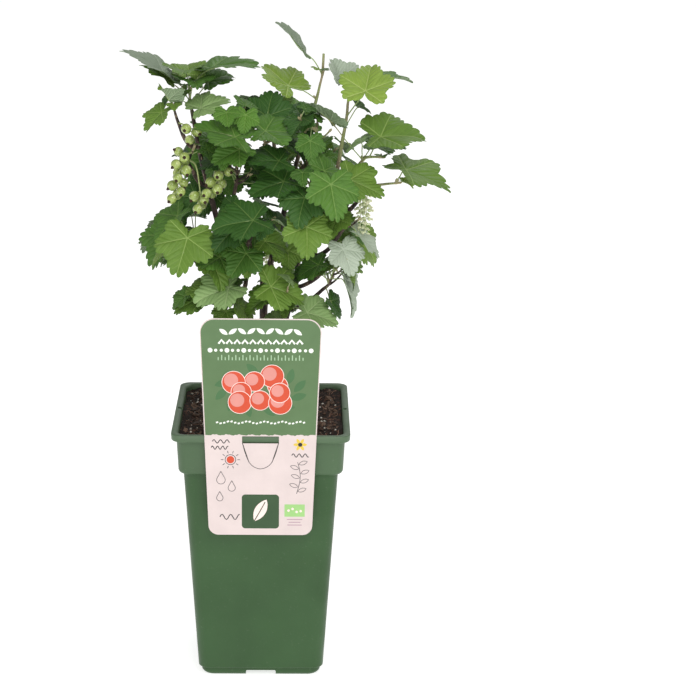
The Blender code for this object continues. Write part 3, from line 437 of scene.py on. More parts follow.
# Pale strings of young fruit: mass, place on the twig, drop and number of beads
RACEMES = (
    ("right_high", 0.02, (-1, -9, -60), 34),
    ("far_right", 0.25, (-3, -10, -36), 22),
    ("back_low", 0.40, (6, 12, -30), 18),
)
BEAD_RADIUS = 1.75
STRING_RADII = (0.55, 0.3)
STRING_DROP = 0.12

# Side shoots: where they leave the twig, their length and rise, and how their leaves shrink
SHOOT_SHARES = (0.15, 0.48, 0.80, 0.32, 0.64)
SHOOT_LENGTH = 17.0
SHOOT_RISE = math.radians(25)
SHOOT_BEND = 0.15
SHOOT_LEAVES = 4
SHOOT_BLADE = 0.62
SHOOT_STALK = 0.60
SHOOT_RADIUS = 1.0
SHOOT_TIP_RADIUS = 0.7
SHOOT_TURN = 60.0
BARE_MASSES = ("left_top", "top_centre", "right_top", "right_high", "far_right", "left_high",
               "left_mid")

# Young leaves at the twigs' ends, and the pale leader that carries on from one of the twigs
TIP_LEAVES = 3
TIP_BLADE = 0.42
TIP_STALK = 6.0
TIP_LENGTH = 2.5
LEADER_MASS = "top_centre"
LEADER_TIP = (50, 0, 536)
LEADER_RADII = (1.2, 1.0)

# Fine leaf: its columns, its rings as shares of the reach, its six-step teeth and its relief
PATTERN_COUNT = 6
OUTLINE_STEPS = 4001
COLUMNS = 156
INNER_RINGS = (0.14, 0.34, 0.54, 0.74)
OUTER_RING = 0.90
OUTER_TOOTH = 0.45
TOOTH_STEPS = (-0.75, -0.10, 0.30, 0.45, 0.38, 0.05)
TOOTH_FADE = 0.45
TOOTH_SPREAD = (0.65, 1.30)
TOOTH_WIDTHS = (0.75, 1.25)
TOOTH_DEPTHS = (0.85, 1.2)
SINUS_POWER = 4
VEIN_SINK = 0.012
VEIN_SPREAD = 0.024
PLEAT = 0.06
DROOP = 0.22
DROOPS = (0.3, 1.0)
WAVES = ((5, 0.020), (9, 0.012))
WAVE_SIZES = (0.5, 1.5)
TWISTS = (-0.22, 0.22)
SWEEPS = (-0.10, 0.10)

# Shades: how often a leaf wears the first, and where in its shade it lies
FIRST_DRESS = 0.68
TINTS = (0.10, 0.80)
KEY_TINTS = (0.40, 0.65)

# Veins in a leaf's material, as shares of its width: breadth, taper, and the side veins' rows
VEIN_WIDTH = 0.012
VEIN_TAPER = -0.010
SIDE_VEIN_STEP = 0.062
SIDE_VEIN_SLANT = -0.95
SIDE_VEIN_BEND = 0.85
SIDE_VEIN_EDGES = (0.002, 0.009)
SWELL_WIDTH = 0.04

# Stalks, twigs and wood: sides round, steps along, the bark's ridges, nodes and collars
STALK_SIDES = 6
STALK_STEPS = 3
STALK_BOW = 0.10
TRUNK_SIDES = 28
WOOD_SIDES = 18
WOOD_STEP = 3.0
NODE_STEP = 26.0
NODE_SWELL = 0.16
NODE_LENGTH = 2.4
RIDGE = 0.12
ROOT_FLARE = 2.6
COLLAR_LENGTH = 3.0
BOUGH_COLLAR = 0.35
STEM_SINK = 5.0
BOUGH_SINK = 2.6
TWIG_SINK = 2.0
BUD_LENGTH = 2.6
SIDE_BUD_LENGTH = 1.9
BUD_CHANCE = 0.7


def linear_rgb(colour):
    """An sRGB hex colour as three linear parts."""
    parts = [int(colour[i:i + 2], 16) / 255 for i in (0, 2, 4)]
    return tuple(c / 12.92 if c <= 0.04045 else ((c + 0.055) / 1.055) ** 2.4 for c in parts)


def colour_property(name, description, colour):
    return FloatVectorProperty(name=name, description=description, subtype="COLOR", size=3,
                               min=0.0, max=1.0, default=linear_rgb(colour))


def length_property(name, description, millimetres):
    return FloatProperty(name=name, description=description, default=millimetres * MM,
                         unit="LENGTH")


class BushSizes(bpy.types.PropertyGroup):
    leaf_thickness: length_property("Leaf thickness", "How thick a leaf blade is", 0.35)
    tooth_depth: FloatProperty(
        name="Tooth depth", description="Depth of a leaf's teeth as a share of its reach",
        default=0.075, subtype="FACTOR")
    stalk_radius: length_property("Stalk radius", "Radius of a leaf's stalk", 0.65)
    berry_radius: length_property("Berry radius", "Radius of a green berry", BERRY_RADIUS)
    shoots: IntProperty(
        name="Side shoots", description="Side shoots on each twig", default=5, min=0, max=5)
    chips: IntProperty(
        name="Bark chips", description="Bark chips on the soil", default=650, min=0)


class BushColours(bpy.types.PropertyGroup):
    pot: colour_property("Pot", "Green of the pot's plastic", "274D1F")
    peat: colour_property("Peat", "Brown of the peat", "2F2017")
    bark: colour_property("Bark", "Brown of the old wood", "4A3A33")
    young_bark: colour_property("Young bark", "Tan green of the young wood", "939C66")
    stalk: colour_property("Stalk", "Green of the leaf stalks", "8DA664")
    berry: colour_property("Berry", "Yellow green of the unripe berries", "93A853")
    card: colour_property("Card", "Pale pink of the label's card", "DACAC7")
    print_green: colour_property("Printed green", "Green printed on the label", "557347")
    print_coral: colour_property("Printed coral", "Coral printed on the label", "CF4620")
    floor: colour_property("Floor", "Pale floor", "CCCCCA")


def add_node(tree, kind, sockets=None, **settings):
    """Adds a node with its settings; a socket given for an input is linked to it."""
    item = tree.nodes.new(kind)
    for key, value in settings.items():
        setattr(item, key, value)
    for key, value in (sockets or {}).items():
        if isinstance(value, bpy.types.NodeSocket):
            tree.links.new(value, item.inputs[key])
        else:
            item.inputs[key].default_value = value
    return item


def ranged(tree, value, low, high, start=0.0, end=1.0):
    """A value carried from one range to another, and clamped there."""
    sockets = {0: value, 1: low, 2: high, 3: start, 4: end}
    return add_node(tree, "ShaderNodeMapRange", sockets).outputs[0]


class Finish:
    """A Principled material in the making, whose methods add nodes and give back sockets."""

    def __init__(self, name, roughness, ior=1.45):
        self.material = bpy.data.materials.new(name)
        self.material.use_nodes = True
        self.tree = self.material.node_tree
        self.shader = self.tree.nodes["Principled BSDF"]
        self.set("Roughness", roughness)
        self.set("IOR", ior)

    def set(self, name, value):
        """Sets a constant on the shader's own socket."""
        self.shader.inputs[name].default_value = value

    def done(self, colour, height, depth_mm):
        """The material in a colour, with its normal moved by a height of a depth in mm."""
        self.tree.links.new(colour, self.shader.inputs["Base Color"])
        sockets = {"Height": height, "Distance": depth_mm * MM, "Strength": 1.0}
        normal = add_node(self.tree, "ShaderNodeBump", sockets).outputs[0]
        self.tree.links.new(normal, self.shader.inputs["Normal"])
        return self.material

    def mix(self, factor, *ends):
        """The colour between two colours, each of them a hex code, linear parts or a socket."""
        ends = [linear_rgb(end) if isinstance(end, str) else end for end in ends]
        first, second = [(*end, 1.0) if isinstance(end, tuple) else end for end in ends]
        sockets = {0: factor, 6: first, 7: second}
        return add_node(self.tree, "ShaderNodeMix", sockets, data_type="RGBA").outputs[2]

    def range(self, value, low, high, start=0.0, end=1.0):
        return ranged(self.tree, value, low, high, start, end)

    def math(self, operation, *values):
        """The result of one step of arithmetic."""
        sockets = dict(enumerate(values))
        return add_node(self.tree, "ShaderNodeMath", sockets, operation=operation).outputs[0]

    def place(self):
        """The place of a point in the piece's own frame."""
        return add_node(self.tree, "ShaderNodeTexCoord").outputs["Object"]

    def parts(self, vector):
        """The three parts of a vector."""
        return add_node(self.tree, "ShaderNodeSeparateXYZ", {0: vector}).outputs

    def grain(self, size_mm, detail=2.0, stretch=(1.0, 1.0, 1.0)):
        """Noise with grains of about a size in mm; stretch shortens them along an axis."""
        scale = tuple(part / (size_mm * MM) for part in stretch)
        sockets = {"Vector": self.place(), "Scale": scale}
        place = add_node(self.tree, "ShaderNodeMapping", sockets).outputs[0]
        sockets = {"Vector": place, "Scale": 1.0, "Detail": detail}
        return add_node(self.tree, "ShaderNodeTexNoise", sockets).outputs[0]

    def field(self, name, output="Fac"):
        """A value or vector that the mesh carries at each point."""
        return add_node(self.tree, "ShaderNodeAttribute", attribute_name=name).outputs[output]


def leaf_veins(skin):
    """How near a point is to a main and to a side vein, how far the blade swells, its share."""
    aside, ahead, share = skin.parts(skin.field("blade", "Vector"))
    angle = skin.math("ARCTAN2", aside, ahead)
    lobe = skin.math("ROUND", skin.math("DIVIDE", angle, LOBE_SPACING))
    lobe = skin.math("MAXIMUM", skin.math("MINIMUM", lobe, 2.0), -2.0)
    turn = skin.math("MULTIPLY_ADD", lobe, -LOBE_SPACING, angle)
    squares = skin.math("MULTIPLY_ADD", aside, aside, skin.math("MULTIPLY", ahead, ahead))
    reach = skin.math("SQRT", squares)
    along = skin.math("MULTIPLY", reach, skin.math("COSINE", turn))
    across = skin.math("ABSOLUTE", skin.math("MULTIPLY", reach, skin.math("SINE", turn)))
    width = skin.math("MULTIPLY_ADD", along, VEIN_TAPER, VEIN_WIDTH)
    main = skin.range(skin.math("DIVIDE", across, width), 0.4, 1.2, 1.0, 0.0)
    slant = skin.math("MULTIPLY_ADD", skin.math("POWER", across, SIDE_VEIN_BEND),
                      SIDE_VEIN_SLANT, along)
    slant = skin.math("PINGPONG", slant, SIDE_VEIN_STEP)
    side = skin.range(slant, *SIDE_VEIN_EDGES, 1.0, 0.0)
    swell = skin.math("MINIMUM", skin.math("DIVIDE", slant, SIDE_VEIN_STEP),
                      skin.math("DIVIDE", across, SWELL_WIDTH))
    return main, side, swell, share


def leaf_skin(name, shade, lit, vein, roughness, vein_share, bump):
    """Living leaf blade: soft satin skin, veins that show pale, tissue that swells between them."""
    skin = Finish(name, roughness, 1.42)
    skin.set("Specular IOR Level", 0.35)
    main, side, swell, share = leaf_veins(skin)
    speckle = skin.math("MULTIPLY_ADD", skin.grain(9.0, 3.0), 0.5, -0.25)
    mottle = skin.math("MULTIPLY_ADD", skin.grain(1.3), 0.24, -0.12)
    tint = skin.math("ADD", skin.math("ADD", skin.field("tint"), speckle), mottle)
    colour = skin.mix(skin.range(tint, 0.0, 1.0), shade, lit)
    faint = skin.range(skin.grain(14.0, 1.0), 0.35, 0.65, 0.12, 0.42)
    near_vein = skin.math("MAXIMUM", main, skin.math("MULTIPLY", side, faint))
    colour = skin.mix(skin.math("MULTIPLY", near_vein, vein_share), colour, vein)
    colour = skin.mix(skin.range(share, 0.92, 1.0, 0.0, 0.35), colour, shade)
    height = skin.math("ADD", swell, skin.math("MULTIPLY", skin.grain(0.9, 1.0), 0.5))
    return skin.done(colour, height, bump)


def leaf_materials():
    """Every shade of leaf by name; under is the downy, silvery lower side."""
    # Darker and paler copies of one leaf, given out by place, so they are partly painted shade and
    # partly painted light.
    shades = {
        "deep": ("234818", "426A28", "76904E", 0.50, 0.60, 0.40),
        "mid": ("345822", "5F8A32", "8BA85C", 0.50, 0.60, 0.40),
        "fresh": ("4C7026", "7B9A40", "A4BC6C", 0.50, 0.60, 0.40),
        "bright": ("64882C", "98B04C", "BCCB7E", 0.48, 0.60, 0.40),
        "pale": ("74955A", "9DB878", "BDCD9A", 0.54, 0.50, 0.40),
        "grey": ("66785F", "98A68F", "B4C0A8", 0.58, 0.45, 0.40),
        "silver": ("8C9E86", "BAC5B2", "D0D8C8", 0.62, 0.45, 0.40),
        "under": ("748C66", "9CAE8C", "BAC8A8", 0.66, 0.65, -0.45),
    }
    return {name: leaf_skin("leaf_" + name, *look) for name, look in shades.items()}


def petiole_skin(colour):
    """Young stalk: thin green skin that reddens here and there, slightly glossy."""
    skin = Finish("petiole_skin", 0.42)
    blush = skin.range(skin.grain(26.0), 0.50, 0.72)
    green = skin.mix(skin.grain(3.0), tuple(colour), "A9BB82")
    rosy = skin.mix(skin.math("MULTIPLY", blush, 0.6), green, "8C5C4C")
    return skin.done(rosy, skin.grain(0.8, 2.0, (1.0, 1.0, 0.2)), 0.1)


def currant_bark(old, young):
    """Thin bark: dark purplish brown below with grey peeling streaks, tan green on young wood."""
    bark = Finish("currant_bark", 0.62)
    aside, _, height = bark.parts(bark.place())
    wander = bark.math("MULTIPLY_ADD", bark.grain(30.0), 0.05, height)
    youth = bark.range(bark.math("MULTIPLY_ADD", aside, 0.45, wander), 0.478, 0.510)
    streaks = bark.range(bark.grain(2.4, 4.0, (1.0, 1.0, 0.16)), 0.42, 0.66)
    colour = bark.mix(streaks, tuple(old), "7B675A")
    darker = bark.range(bark.grain(5.0, 3.0, (1.0, 1.0, 0.3)), 0.40, 0.62)
    colour = bark.mix(darker, "2B211E", colour)
    pores = bark.range(bark.grain(1.6, 0.0, (1.0, 1.0, 0.5)), 0.70, 0.76)
    colour = bark.mix(pores, colour, "A08C74")
    blush = bark.range(bark.grain(24.0), 0.44, 0.60, 0.0, 0.65)
    colour = bark.mix(youth, colour, bark.mix(blush, tuple(young), "A98F7C"))
    relief = bark.math("ADD", bark.grain(1.8, 4.0, (1.0, 1.0, 0.16)), pores)
    return bark.done(colour, relief, 0.45)


def berry_skin(colour):
    """Unripe currant: tight glassy skin, pale meridian lines, painted shade at both ends, light
    that soaks in.
    """
    skin = Finish("berry_skin", 0.16, 1.40)
    skin.set("Subsurface Weight", 0.25)
    skin.set("Subsurface Radius", (2.0 * MM, 2.0 * MM, 1.0 * MM))
    skin.set("Coat Weight", 0.5)
    round_axis, along_axis, _ = skin.parts(skin.field("berry", "Vector"))
    lines = skin.range(skin.math("PINGPONG", round_axis, 0.5), 0.03, 0.14, 1.0, 0.0)
    # Painted shade: both ends of each berry are mixed towards a darker green, standing in for the
    # dark rim that a glassy berry shows.
    ends = skin.range(skin.math("ABSOLUTE", along_axis), 0.55, 1.0)
    colour = skin.mix(skin.grain(14.0), tuple(colour), "ABBB6C")
    colour = skin.mix(skin.math("MULTIPLY", lines, 0.6), colour, "DCE2AC")
    colour = skin.mix(skin.math("MULTIPLY", ends, 0.6), colour, "66783A")
    skin.tree.links.new(colour, skin.shader.inputs["Base Color"])
    return skin.material


def plain_growth(name, first, second, size_mm, roughness):
    """Small dry or fleshy growth, such as buds, calyx tufts and beads: mottled and matt."""
    skin = Finish(name, roughness)
    colour = skin.mix(skin.grain(size_mm, 3.0), first, second)
    return skin.done(colour, skin.grain(size_mm / 2), 0.15)


def moulded_polypropylene(colour):
    """Injection moulded polypropylene: satin, faint flow lines up the walls, dust and scuffs;
    painted light makes the collar and the lip paler than the body.
    """
    plastic = Finish("moulded_polypropylene", 0.42, 1.49)
    flow = plastic.grain(7.0, 2.0, (1.0, 1.0, 0.04))
    pale = tuple(min(1.0, part * 1.10 + 0.004) for part in colour)
    dark = tuple(part * 0.93 for part in colour)
    body = plastic.mix(plastic.range(plastic.grain(60.0, 3.0), 0.35, 0.65), dark, pale)
    body = plastic.mix(plastic.range(flow, 0.45, 0.75, 0.0, 0.22), body, pale)
    height = plastic.parts(plastic.place())[2]
    # Painted light: from the collar's foot up, and more at the lip, the green is mixed towards
    # paler grey greens, as if these parts caught more light than the body.
    for low, high, share, painted_light in (
            (COLLAR_FOOT_Z - 3.0, COLLAR_FOOT_Z + 1.0, 0.15, "8C9C86"),
            (POT_HEIGHT - LIP_HEIGHT - 2.0, POT_HEIGHT, 0.12, "98A294")):
        body = plastic.mix(plastic.range(height, low * MM, high * MM, 0.0, share), body, painted_light)
    dust = plastic.range(plastic.grain(2.2, 5.0), 0.62, 0.82, 0.0, 0.10)
    body = plastic.mix(dust, body, "A3AC98")
    rough = plastic.range(plastic.grain(18.0, 4.0), 0.3, 0.7, 0.36, 0.52)
    plastic.tree.links.new(rough, plastic.shader.inputs["Roughness"])
    relief = plastic.math("ADD", flow, plastic.math("MULTIPLY", plastic.grain(0.7, 1.0), 0.35))
    return plastic.done(body, relief, 0.12)


def peat_mix(colour):
    """Moist peat and composted bark: near black crumbs with red brown ones among them."""
    peat = Finish("peat_mix", 0.93)
    crumbs = peat.range(peat.grain(2.2, 6.0), 0.38, 0.66)
    body = peat.mix(crumbs, "17110E", tuple(colour))
    body = peat.mix(peat.range(peat.grain(3.6, 4.0), 0.56, 0.68), body, "5C3A2C")
    return peat.done(body, peat.grain(1.4, 6.0), 1.2)


def strewn(name, colours, size_mm, roughness):
    """Loose bits on the soil; each takes its own shade between two colours from its tint."""
    bits = Finish(name, roughness)
    shade = bits.range(bits.grain(size_mm, 3.0), 0.3, 0.7, 0.0, 0.35)
    colour = bits.mix(shade, bits.mix(bits.field("tint"), *colours), "241A15")
    return bits.done(colour, bits.grain(size_mm / 2, 3.0), 0.3)


def printed_card(name, colour):
    """Printed polypropylene label stock: even ink on a faint paper-like tooth, satin varnish."""
    card = Finish(name, 0.38, 1.49)
    worn = tuple(min(1.0, part * 1.06 + 0.004) for part in colour)
    body = card.mix(card.range(card.grain(16.0, 4.0), 0.35, 0.65), tuple(colour), worn)
    return card.done(body, card.grain(0.6), 0.02)


def pale_floor(colour):
    """Matt light table: frosted white acrylic with a faint glow of its own, so no hard shadow."""
    acrylic = Finish("pale_floor", 0.8)
    acrylic.set("Emission Color", (1.0, 1.0, 1.0, 1.0))
    acrylic.set("Emission Strength", FLOOR_GLOW)
    worn = tuple(part * 0.985 for part in colour)
    body = acrylic.mix(acrylic.grain(300.0), tuple(colour), worn)
    acrylic.tree.links.new(body, acrylic.shader.inputs["Base Color"])
    return acrylic.material


def level(bearing):
    """The level direction at a bearing."""
    return Vector((math.cos(bearing), math.sin(bearing), 0.0))


def square_to(along):
    """Two directions square to a direction and to each other."""
    across = along.orthogonal().normalized()
    return across, along.cross(across)


def radii_along(points, first, last):
    """A limb's radius at each point, tapering with the length run."""
    runs = [0.0]
    for a, b in zip(points, points[1:]):
        runs.append(runs[-1] + (Vector(b) - Vector(a)).length)
    return [first + (last - first) * run / runs[-1] for run in runs]


def bough_points(bough, limbs):
    """A bough leaves its parent square to it, then rises to its tip in a soft bend."""
    parent = limbs[bough.parent]
    radii = radii_along(parent.points, parent.foot_radius, parent.tip_radius)
    tip = Vector(bough.tip)
    for i, (low, high) in enumerate(zip(parent.points, parent.points[1:])):
        if low[2] <= bough.height < high[2]:
            share = (bough.height - low[2]) / (high[2] - low[2])
            on_axis = Vector(low).lerp(Vector(high), share)
            along = (Vector(high) - Vector(low)).normalized()
            radius = radii[i] + (radii[i + 1] - radii[i]) * share
            break
    out = tip - on_axis
    out = (out - along * out.dot(along)).normalized()
    start = on_axis + out * (radius + GAP)
    elbow = start + out * (bough.foot_radius + BOUGH_STEP)
    reach = (tip - elbow).length
    bend = elbow.lerp(tip, BOUGH_BEND) + (out - UP) * reach * BOUGH_SAG
    return [start, elbow, bend, tip]


def all_limbs():
    """Every stem and bough by name, each with its points and its radii."""
    limbs = {stem.name: stem for stem in STEMS}
    for bough in BOUGHS:
        points = [tuple(point) for point in bough_points(bough, limbs)]
        limbs[bough.name] = Limb(bough.name, points, bough.foot_radius, BOUGH_TIP_RADIUS)
    return limbs


def twig_points(mass, limbs):
    """A mass's twig: it carries straight on from its limb, a gap clear, then turns to its tip."""
    points = limbs[mass.limb].points
    end = Vector(points[-1])
    along = (end - Vector(points[-2])).normalized()
    start = end + along * GAP
    tip = Vector(mass.tip)
    turn = start + along * (tip - start).length * TWIG_TURN
    return [start, turn, turn.lerp(tip, 0.5) + along * TWIG_BOW, tip]


def point_along(points, share):
    """The place and the direction at a share of a line's length."""
    lengths = [(b - a).length for a, b in zip(points, points[1:])]
    left = share * sum(lengths)
    for a, b, length in zip(points, points[1:], lengths):
        if left <= length or b is points[-1]:
            return a.lerp(b, min(1.0, left / length)), (b - a).normalized()
        left -= length


def blade_reach(angle):
    """How far the blade's edge lies from the stalk's end, as a share of its width."""
    turn = abs(angle)
    reach = TIP_REACH - REACH_LOSS * turn / LOBE_SPACING
    reach *= 1 - SINUS_DEPTH * math.sin(math.pi * turn / LOBE_SPACING) ** 2
    if turn > NOTCH_START:
        share = (turn - NOTCH_START) / (math.pi - NOTCH_START)
        reach += (NOTCH_REACH - reach) * share ** 1.5
    return reach


def blade_point(leaf, angle, reach, offset=0.0):
    """A point of the blade, which is folded up along its midrib and curls down to its tip."""
    ahead = leaf.width * reach * math.cos(angle)
    aside = leaf.width * reach * math.sin(angle)
    rise = leaf.fold * abs(aside) - leaf.curl * ahead * ahead / leaf.width
    return leaf.junction + leaf.axis * ahead + leaf.side * aside + leaf.normal * (rise + offset)


def blade_shape(leaf, thickness, scale=1.0):
    """The points and faces of a lens-shaped blade, thickest where the stalk meets it."""
    points = [leaf.junction + leaf.normal * thickness / 2,
              leaf.junction - leaf.normal * thickness / 2]
    faces = []
    for i in range(OUTLINE_POINTS):
        angle = math.pi - 2 * math.pi * i / OUTLINE_POINTS
        points.append(blade_point(leaf, angle, blade_reach(angle) * scale))
        here = 2 + i
        after = 2 + (i + 1) % OUTLINE_POINTS
        faces.append((0, after, here))
        faces.append((1, here, after))
    return points, faces


def rod_shape(start, end, radius, sides=3):
    """The points and faces of a straight rod with flat ends."""
    across, other = square_to((end - start).normalized())
    turns = [2 * math.pi * i / sides for i in range(sides)]
    points = [centre + (across * math.cos(turn) + other * math.sin(turn)) * radius
              for centre in (start, end) for turn in turns]
    faces = [(i, (i + 1) % sides, sides + (i + 1) % sides, sides + i) for i in range(sides)]
    faces.append(tuple(reversed(range(sides))))
    faces.append(tuple(range(sides, 2 * sides)))
    return points, faces


def tree_of(shape):
    return BVHTree.FromPolygons(shape[0], shape[1])


def touches(shape, trees):
    tree = tree_of(shape)
    return any(tree.overlap(other) for other in trees)


def limb_trees(points, first, last):
    """Search trees of a limb's stretches, each fatter than the limb by the clearance."""
    radii = radii_along(points, first, last)
    return [tree_of(rod_shape(Vector(a), Vector(b), radius + CLEARANCE, ROOM_SIDES))
            for a, b, radius in zip(points, points[1:], radii)]


def try_leaf(mass, twig, share, bearing, attempt, dice):
    """One leaf as the rule would place it: it faces up, out from the bush and to the light."""
    place, along = point_along(twig, share)
    spread = SPREAD + SPREAD_STEP * attempt
    out = level(bearing + math.radians(dice.uniform(-spread, spread)))
    lift = FOOT_LIFT + LIFT_GAIN * share - LEAN_LIFT * min(mass.lean, 0.0)
    lift = math.radians(lift + dice.uniform(-spread, spread) / 2)
    stalk_way = (out * math.cos(lift) + UP * math.sin(lift) + along * TWIG_PULL).normalized()
    stalk = mass.stalk * (STALK_FOOT - STALK_LOSS * share) * dice.uniform(*STALK_SWAYS)
    width = mass.blade * (BLADE_FOOT - BLADE_LOSS * share) * dice.uniform(*BLADE_SWAYS)
    lean = mass.lean + dice.uniform(*LEANS)
    sway = Vector((dice.uniform(*SWAYS), dice.uniform(*SWAYS), 0.0))
    light = LIGHT_SHARE + (1 - LIGHT_SHARE) * max(mass.lean, 0.0)
    face = UP + out * lean + LIGHT * light + sway
    fold = dice.uniform(*FOLDS)
    if share == 1.0:
        face = UP - out * YOUNG_LEAN + LIGHT * LIGHT_SHARE
        fold = YOUNG_FOLD
    normal = face.normalized()
    axis = (stalk_way - normal * stalk_way.dot(normal)).normalized()
    side = normal.cross(axis)
    curl = dice.uniform(*CURLS)
    return Leaf(place, place + stalk_way * stalk, axis, side, normal, width, fold, curl)


def key_leaf(key, twig):
    """One of the leaves that show the most."""
    root, _ = point_along(twig, key.share)
    out = level(math.radians(key.bearing))
    normal = (UP + out * key.lean + LIGHT * key.light).normalized()
    axis = (out - normal * out.dot(normal)).normalized()
    return Leaf(root, Vector(key.place), axis, normal.cross(axis), normal, key.width, key.fold,
                CURLS[0])


def gap_trees():
    """Search trees of the straight ways through the crown that show the sky from the front."""
    trees = []
    for x, z, radius in SKY_GAPS:
        middle = Vector((x, 0.0, z))
        way = (middle - SEEN_FROM).normalized() * GAP_REACH
        trees.append(tree_of(rod_shape(middle - way, middle + way, radius, VIEW_SIDES)))
    return trees


def view_tree(leaf):
    """A search tree of the straight way in front of a leaf that shows."""
    middle = leaf.junction + leaf.axis * leaf.width * VIEW_SHARE
    way = (SEEN_FROM - middle).normalized()
    return tree_of(rod_shape(middle + way * VIEW_START, middle + way * VIEW_REACH,
                             leaf.width * VIEW_RADIUS, VIEW_SIDES))


def kept_ways(leaves):
    """Search trees of every way that is kept free, once the leaves that show the most stand."""
    shown = [leaf for grown in leaves.values() for leaf in grown]
    return gap_trees() + [view_tree(leaf) for leaf in shown]


def edge_points(leaf):
    return [blade_point(leaf, angle, blade_reach(angle)) for angle in EDGE_ANGLES]


def behind_label(leaf):
    """Whether a leaf as low as the label keeps behind it."""
    low = [point for point in edge_points(leaf) if point.z < LABEL_TOP_Z + LABEL_ROOM]
    return all(point.y > LABEL_SLACK - LIP_HALF for point in low)


def in_space(mass, twig, leaf):
    """Whether a leaf keeps to the mass's own space, a ball round its twig."""
    centre = twig[0].lerp(twig[-1], 0.5)
    reach = (twig[-1] - twig[0]).length / 2 + mass.stalk + mass.blade * SPACE_REACH
    return all((point - centre).length < reach for point in edge_points(leaf))


def truss_trees(thread, berries):
    """Search trees of a truss, fatter than its thread and its berries."""
    across = Vector((BERRY_RADIUS, 0.0, 0.0))
    rods = [rod_shape(a, b, STRIG_RADIUS + CLEARANCE) for a, b in zip(thread, thread[1:])]
    rods += [rod_shape(berry - across, berry + across, BERRY_RADIUS + BERRY_ROOM, ROOM_SIDES)
             for berry in berries]
    return [tree_of(rod) for rod in rods]


def grow_leaf(leaf, own, others):
    """Adds a leaf's room to the trees of what is taken, unless something is in its way."""
    room = STALK_RADIUS + CLEARANCE / 2
    blade = blade_shape(leaf, LEAF_THICKNESS + 2 * CLEARANCE, TRIAL_SCALE)
    if not behind_label(leaf) or touches(blade, own + others):
        return False
    if touches(rod_shape(leaf.root, leaf.junction, room), others):
        return False
    free = leaf.root.lerp(leaf.junction, STALK_ROOM)
    others += [tree_of(blade), tree_of(rod_shape(free, leaf.junction, room))]
    return True


def grow_keys(mass, twig, own, others):
    """Grows the leaves of a mass that show the most."""
    grown = [key_leaf(key, twig) for key in KEY_LEAVES if key.mass == mass.name]
    return [leaf for leaf in grown if grow_leaf(leaf, own, others)]


def grow_rest(mass, twig, own, others):
    """Grows a mass by its rule, leaf by leaf, and skips a leaf that finds no room."""
    dice = random.Random(mass.seed)
    tip_taken = any(key.mass == mass.name and key.share == 1.0 for key in KEY_LEAVES)
    last_share = LAST_SHARE if tip_taken else 1.0
    grown = []
    for i in range(mass.leaves):
        share = FIRST_SHARE + (last_share - FIRST_SHARE) * i / (mass.leaves - 1)
        bearing = math.radians(mass.bearing) + i * TURN
        for attempt in range(TRIES):
            leaf = try_leaf(mass, twig, share, bearing, attempt, dice)
            if in_space(mass, twig, leaf) and grow_leaf(leaf, own, others):
                grown.append(leaf)
                break
    return grown


def grow_masses(limbs):
    """Grows the twigs, then the trusses of berries, then the leaves, mass by mass."""
    wood = {name: limb_trees(limb.points, limb.foot_radius, limb.tip_radius)
            for name, limb in limbs.items()}
    twigs = {mass.name: twig_points(mass, limbs) for mass in MASSES}
    for name, twig in twigs.items():
        wood[name] = limb_trees(twig, TWIG_RADIUS, TWIG_TIP_RADIUS)
    taken = [tree for trees in wood.values() for tree in trees]
    trusses = {name: [] for name in MASS_NAMES}
    for truss in TRUSSES:
        grown = grow_truss(truss, twigs[truss.mass])
        trusses[truss.mass].append(grown)
        taken += truss_trees(*grown)
    leaves = {name: [] for name in MASS_NAMES}
    ways = []
    for grow in (grow_keys, grow_rest):
        for mass in MASSES:
            own = wood[mass.name] + wood[mass.limb]
            others = [tree for tree in taken if not any(tree is mine for mine in own)]
            count = len(others)
            leaves[mass.name] += grow(mass, twigs[mass.name], own + ways, others)
            taken += others[count:]
        ways = ways or kept_ways(leaves)
    return twigs, leaves, trusses


def grow_truss(truss, twig):
    """A hanging thread with its berries in a spiral round it."""
    start, _ = point_along(twig, truss.along)
    drop = Vector(truss.drop)
    elbow = start + Vector((drop.x, drop.y, 0.0)) * THREAD_OUT + UP * drop.z * THREAD_DROP
    thread = [start, elbow, start + drop]
    along = (thread[2] - elbow).normalized()
    side, other = square_to(along)
    berries = []
    for i in range(truss.berries):
        place = thread[2] - along * (i * BERRY_STEP + FIRST_BERRY)
        turned = side * math.cos(i * TURN) + other * math.sin(i * TURN)
        berries.append(place + turned * BERRY_OFFSET)
    return thread, berries


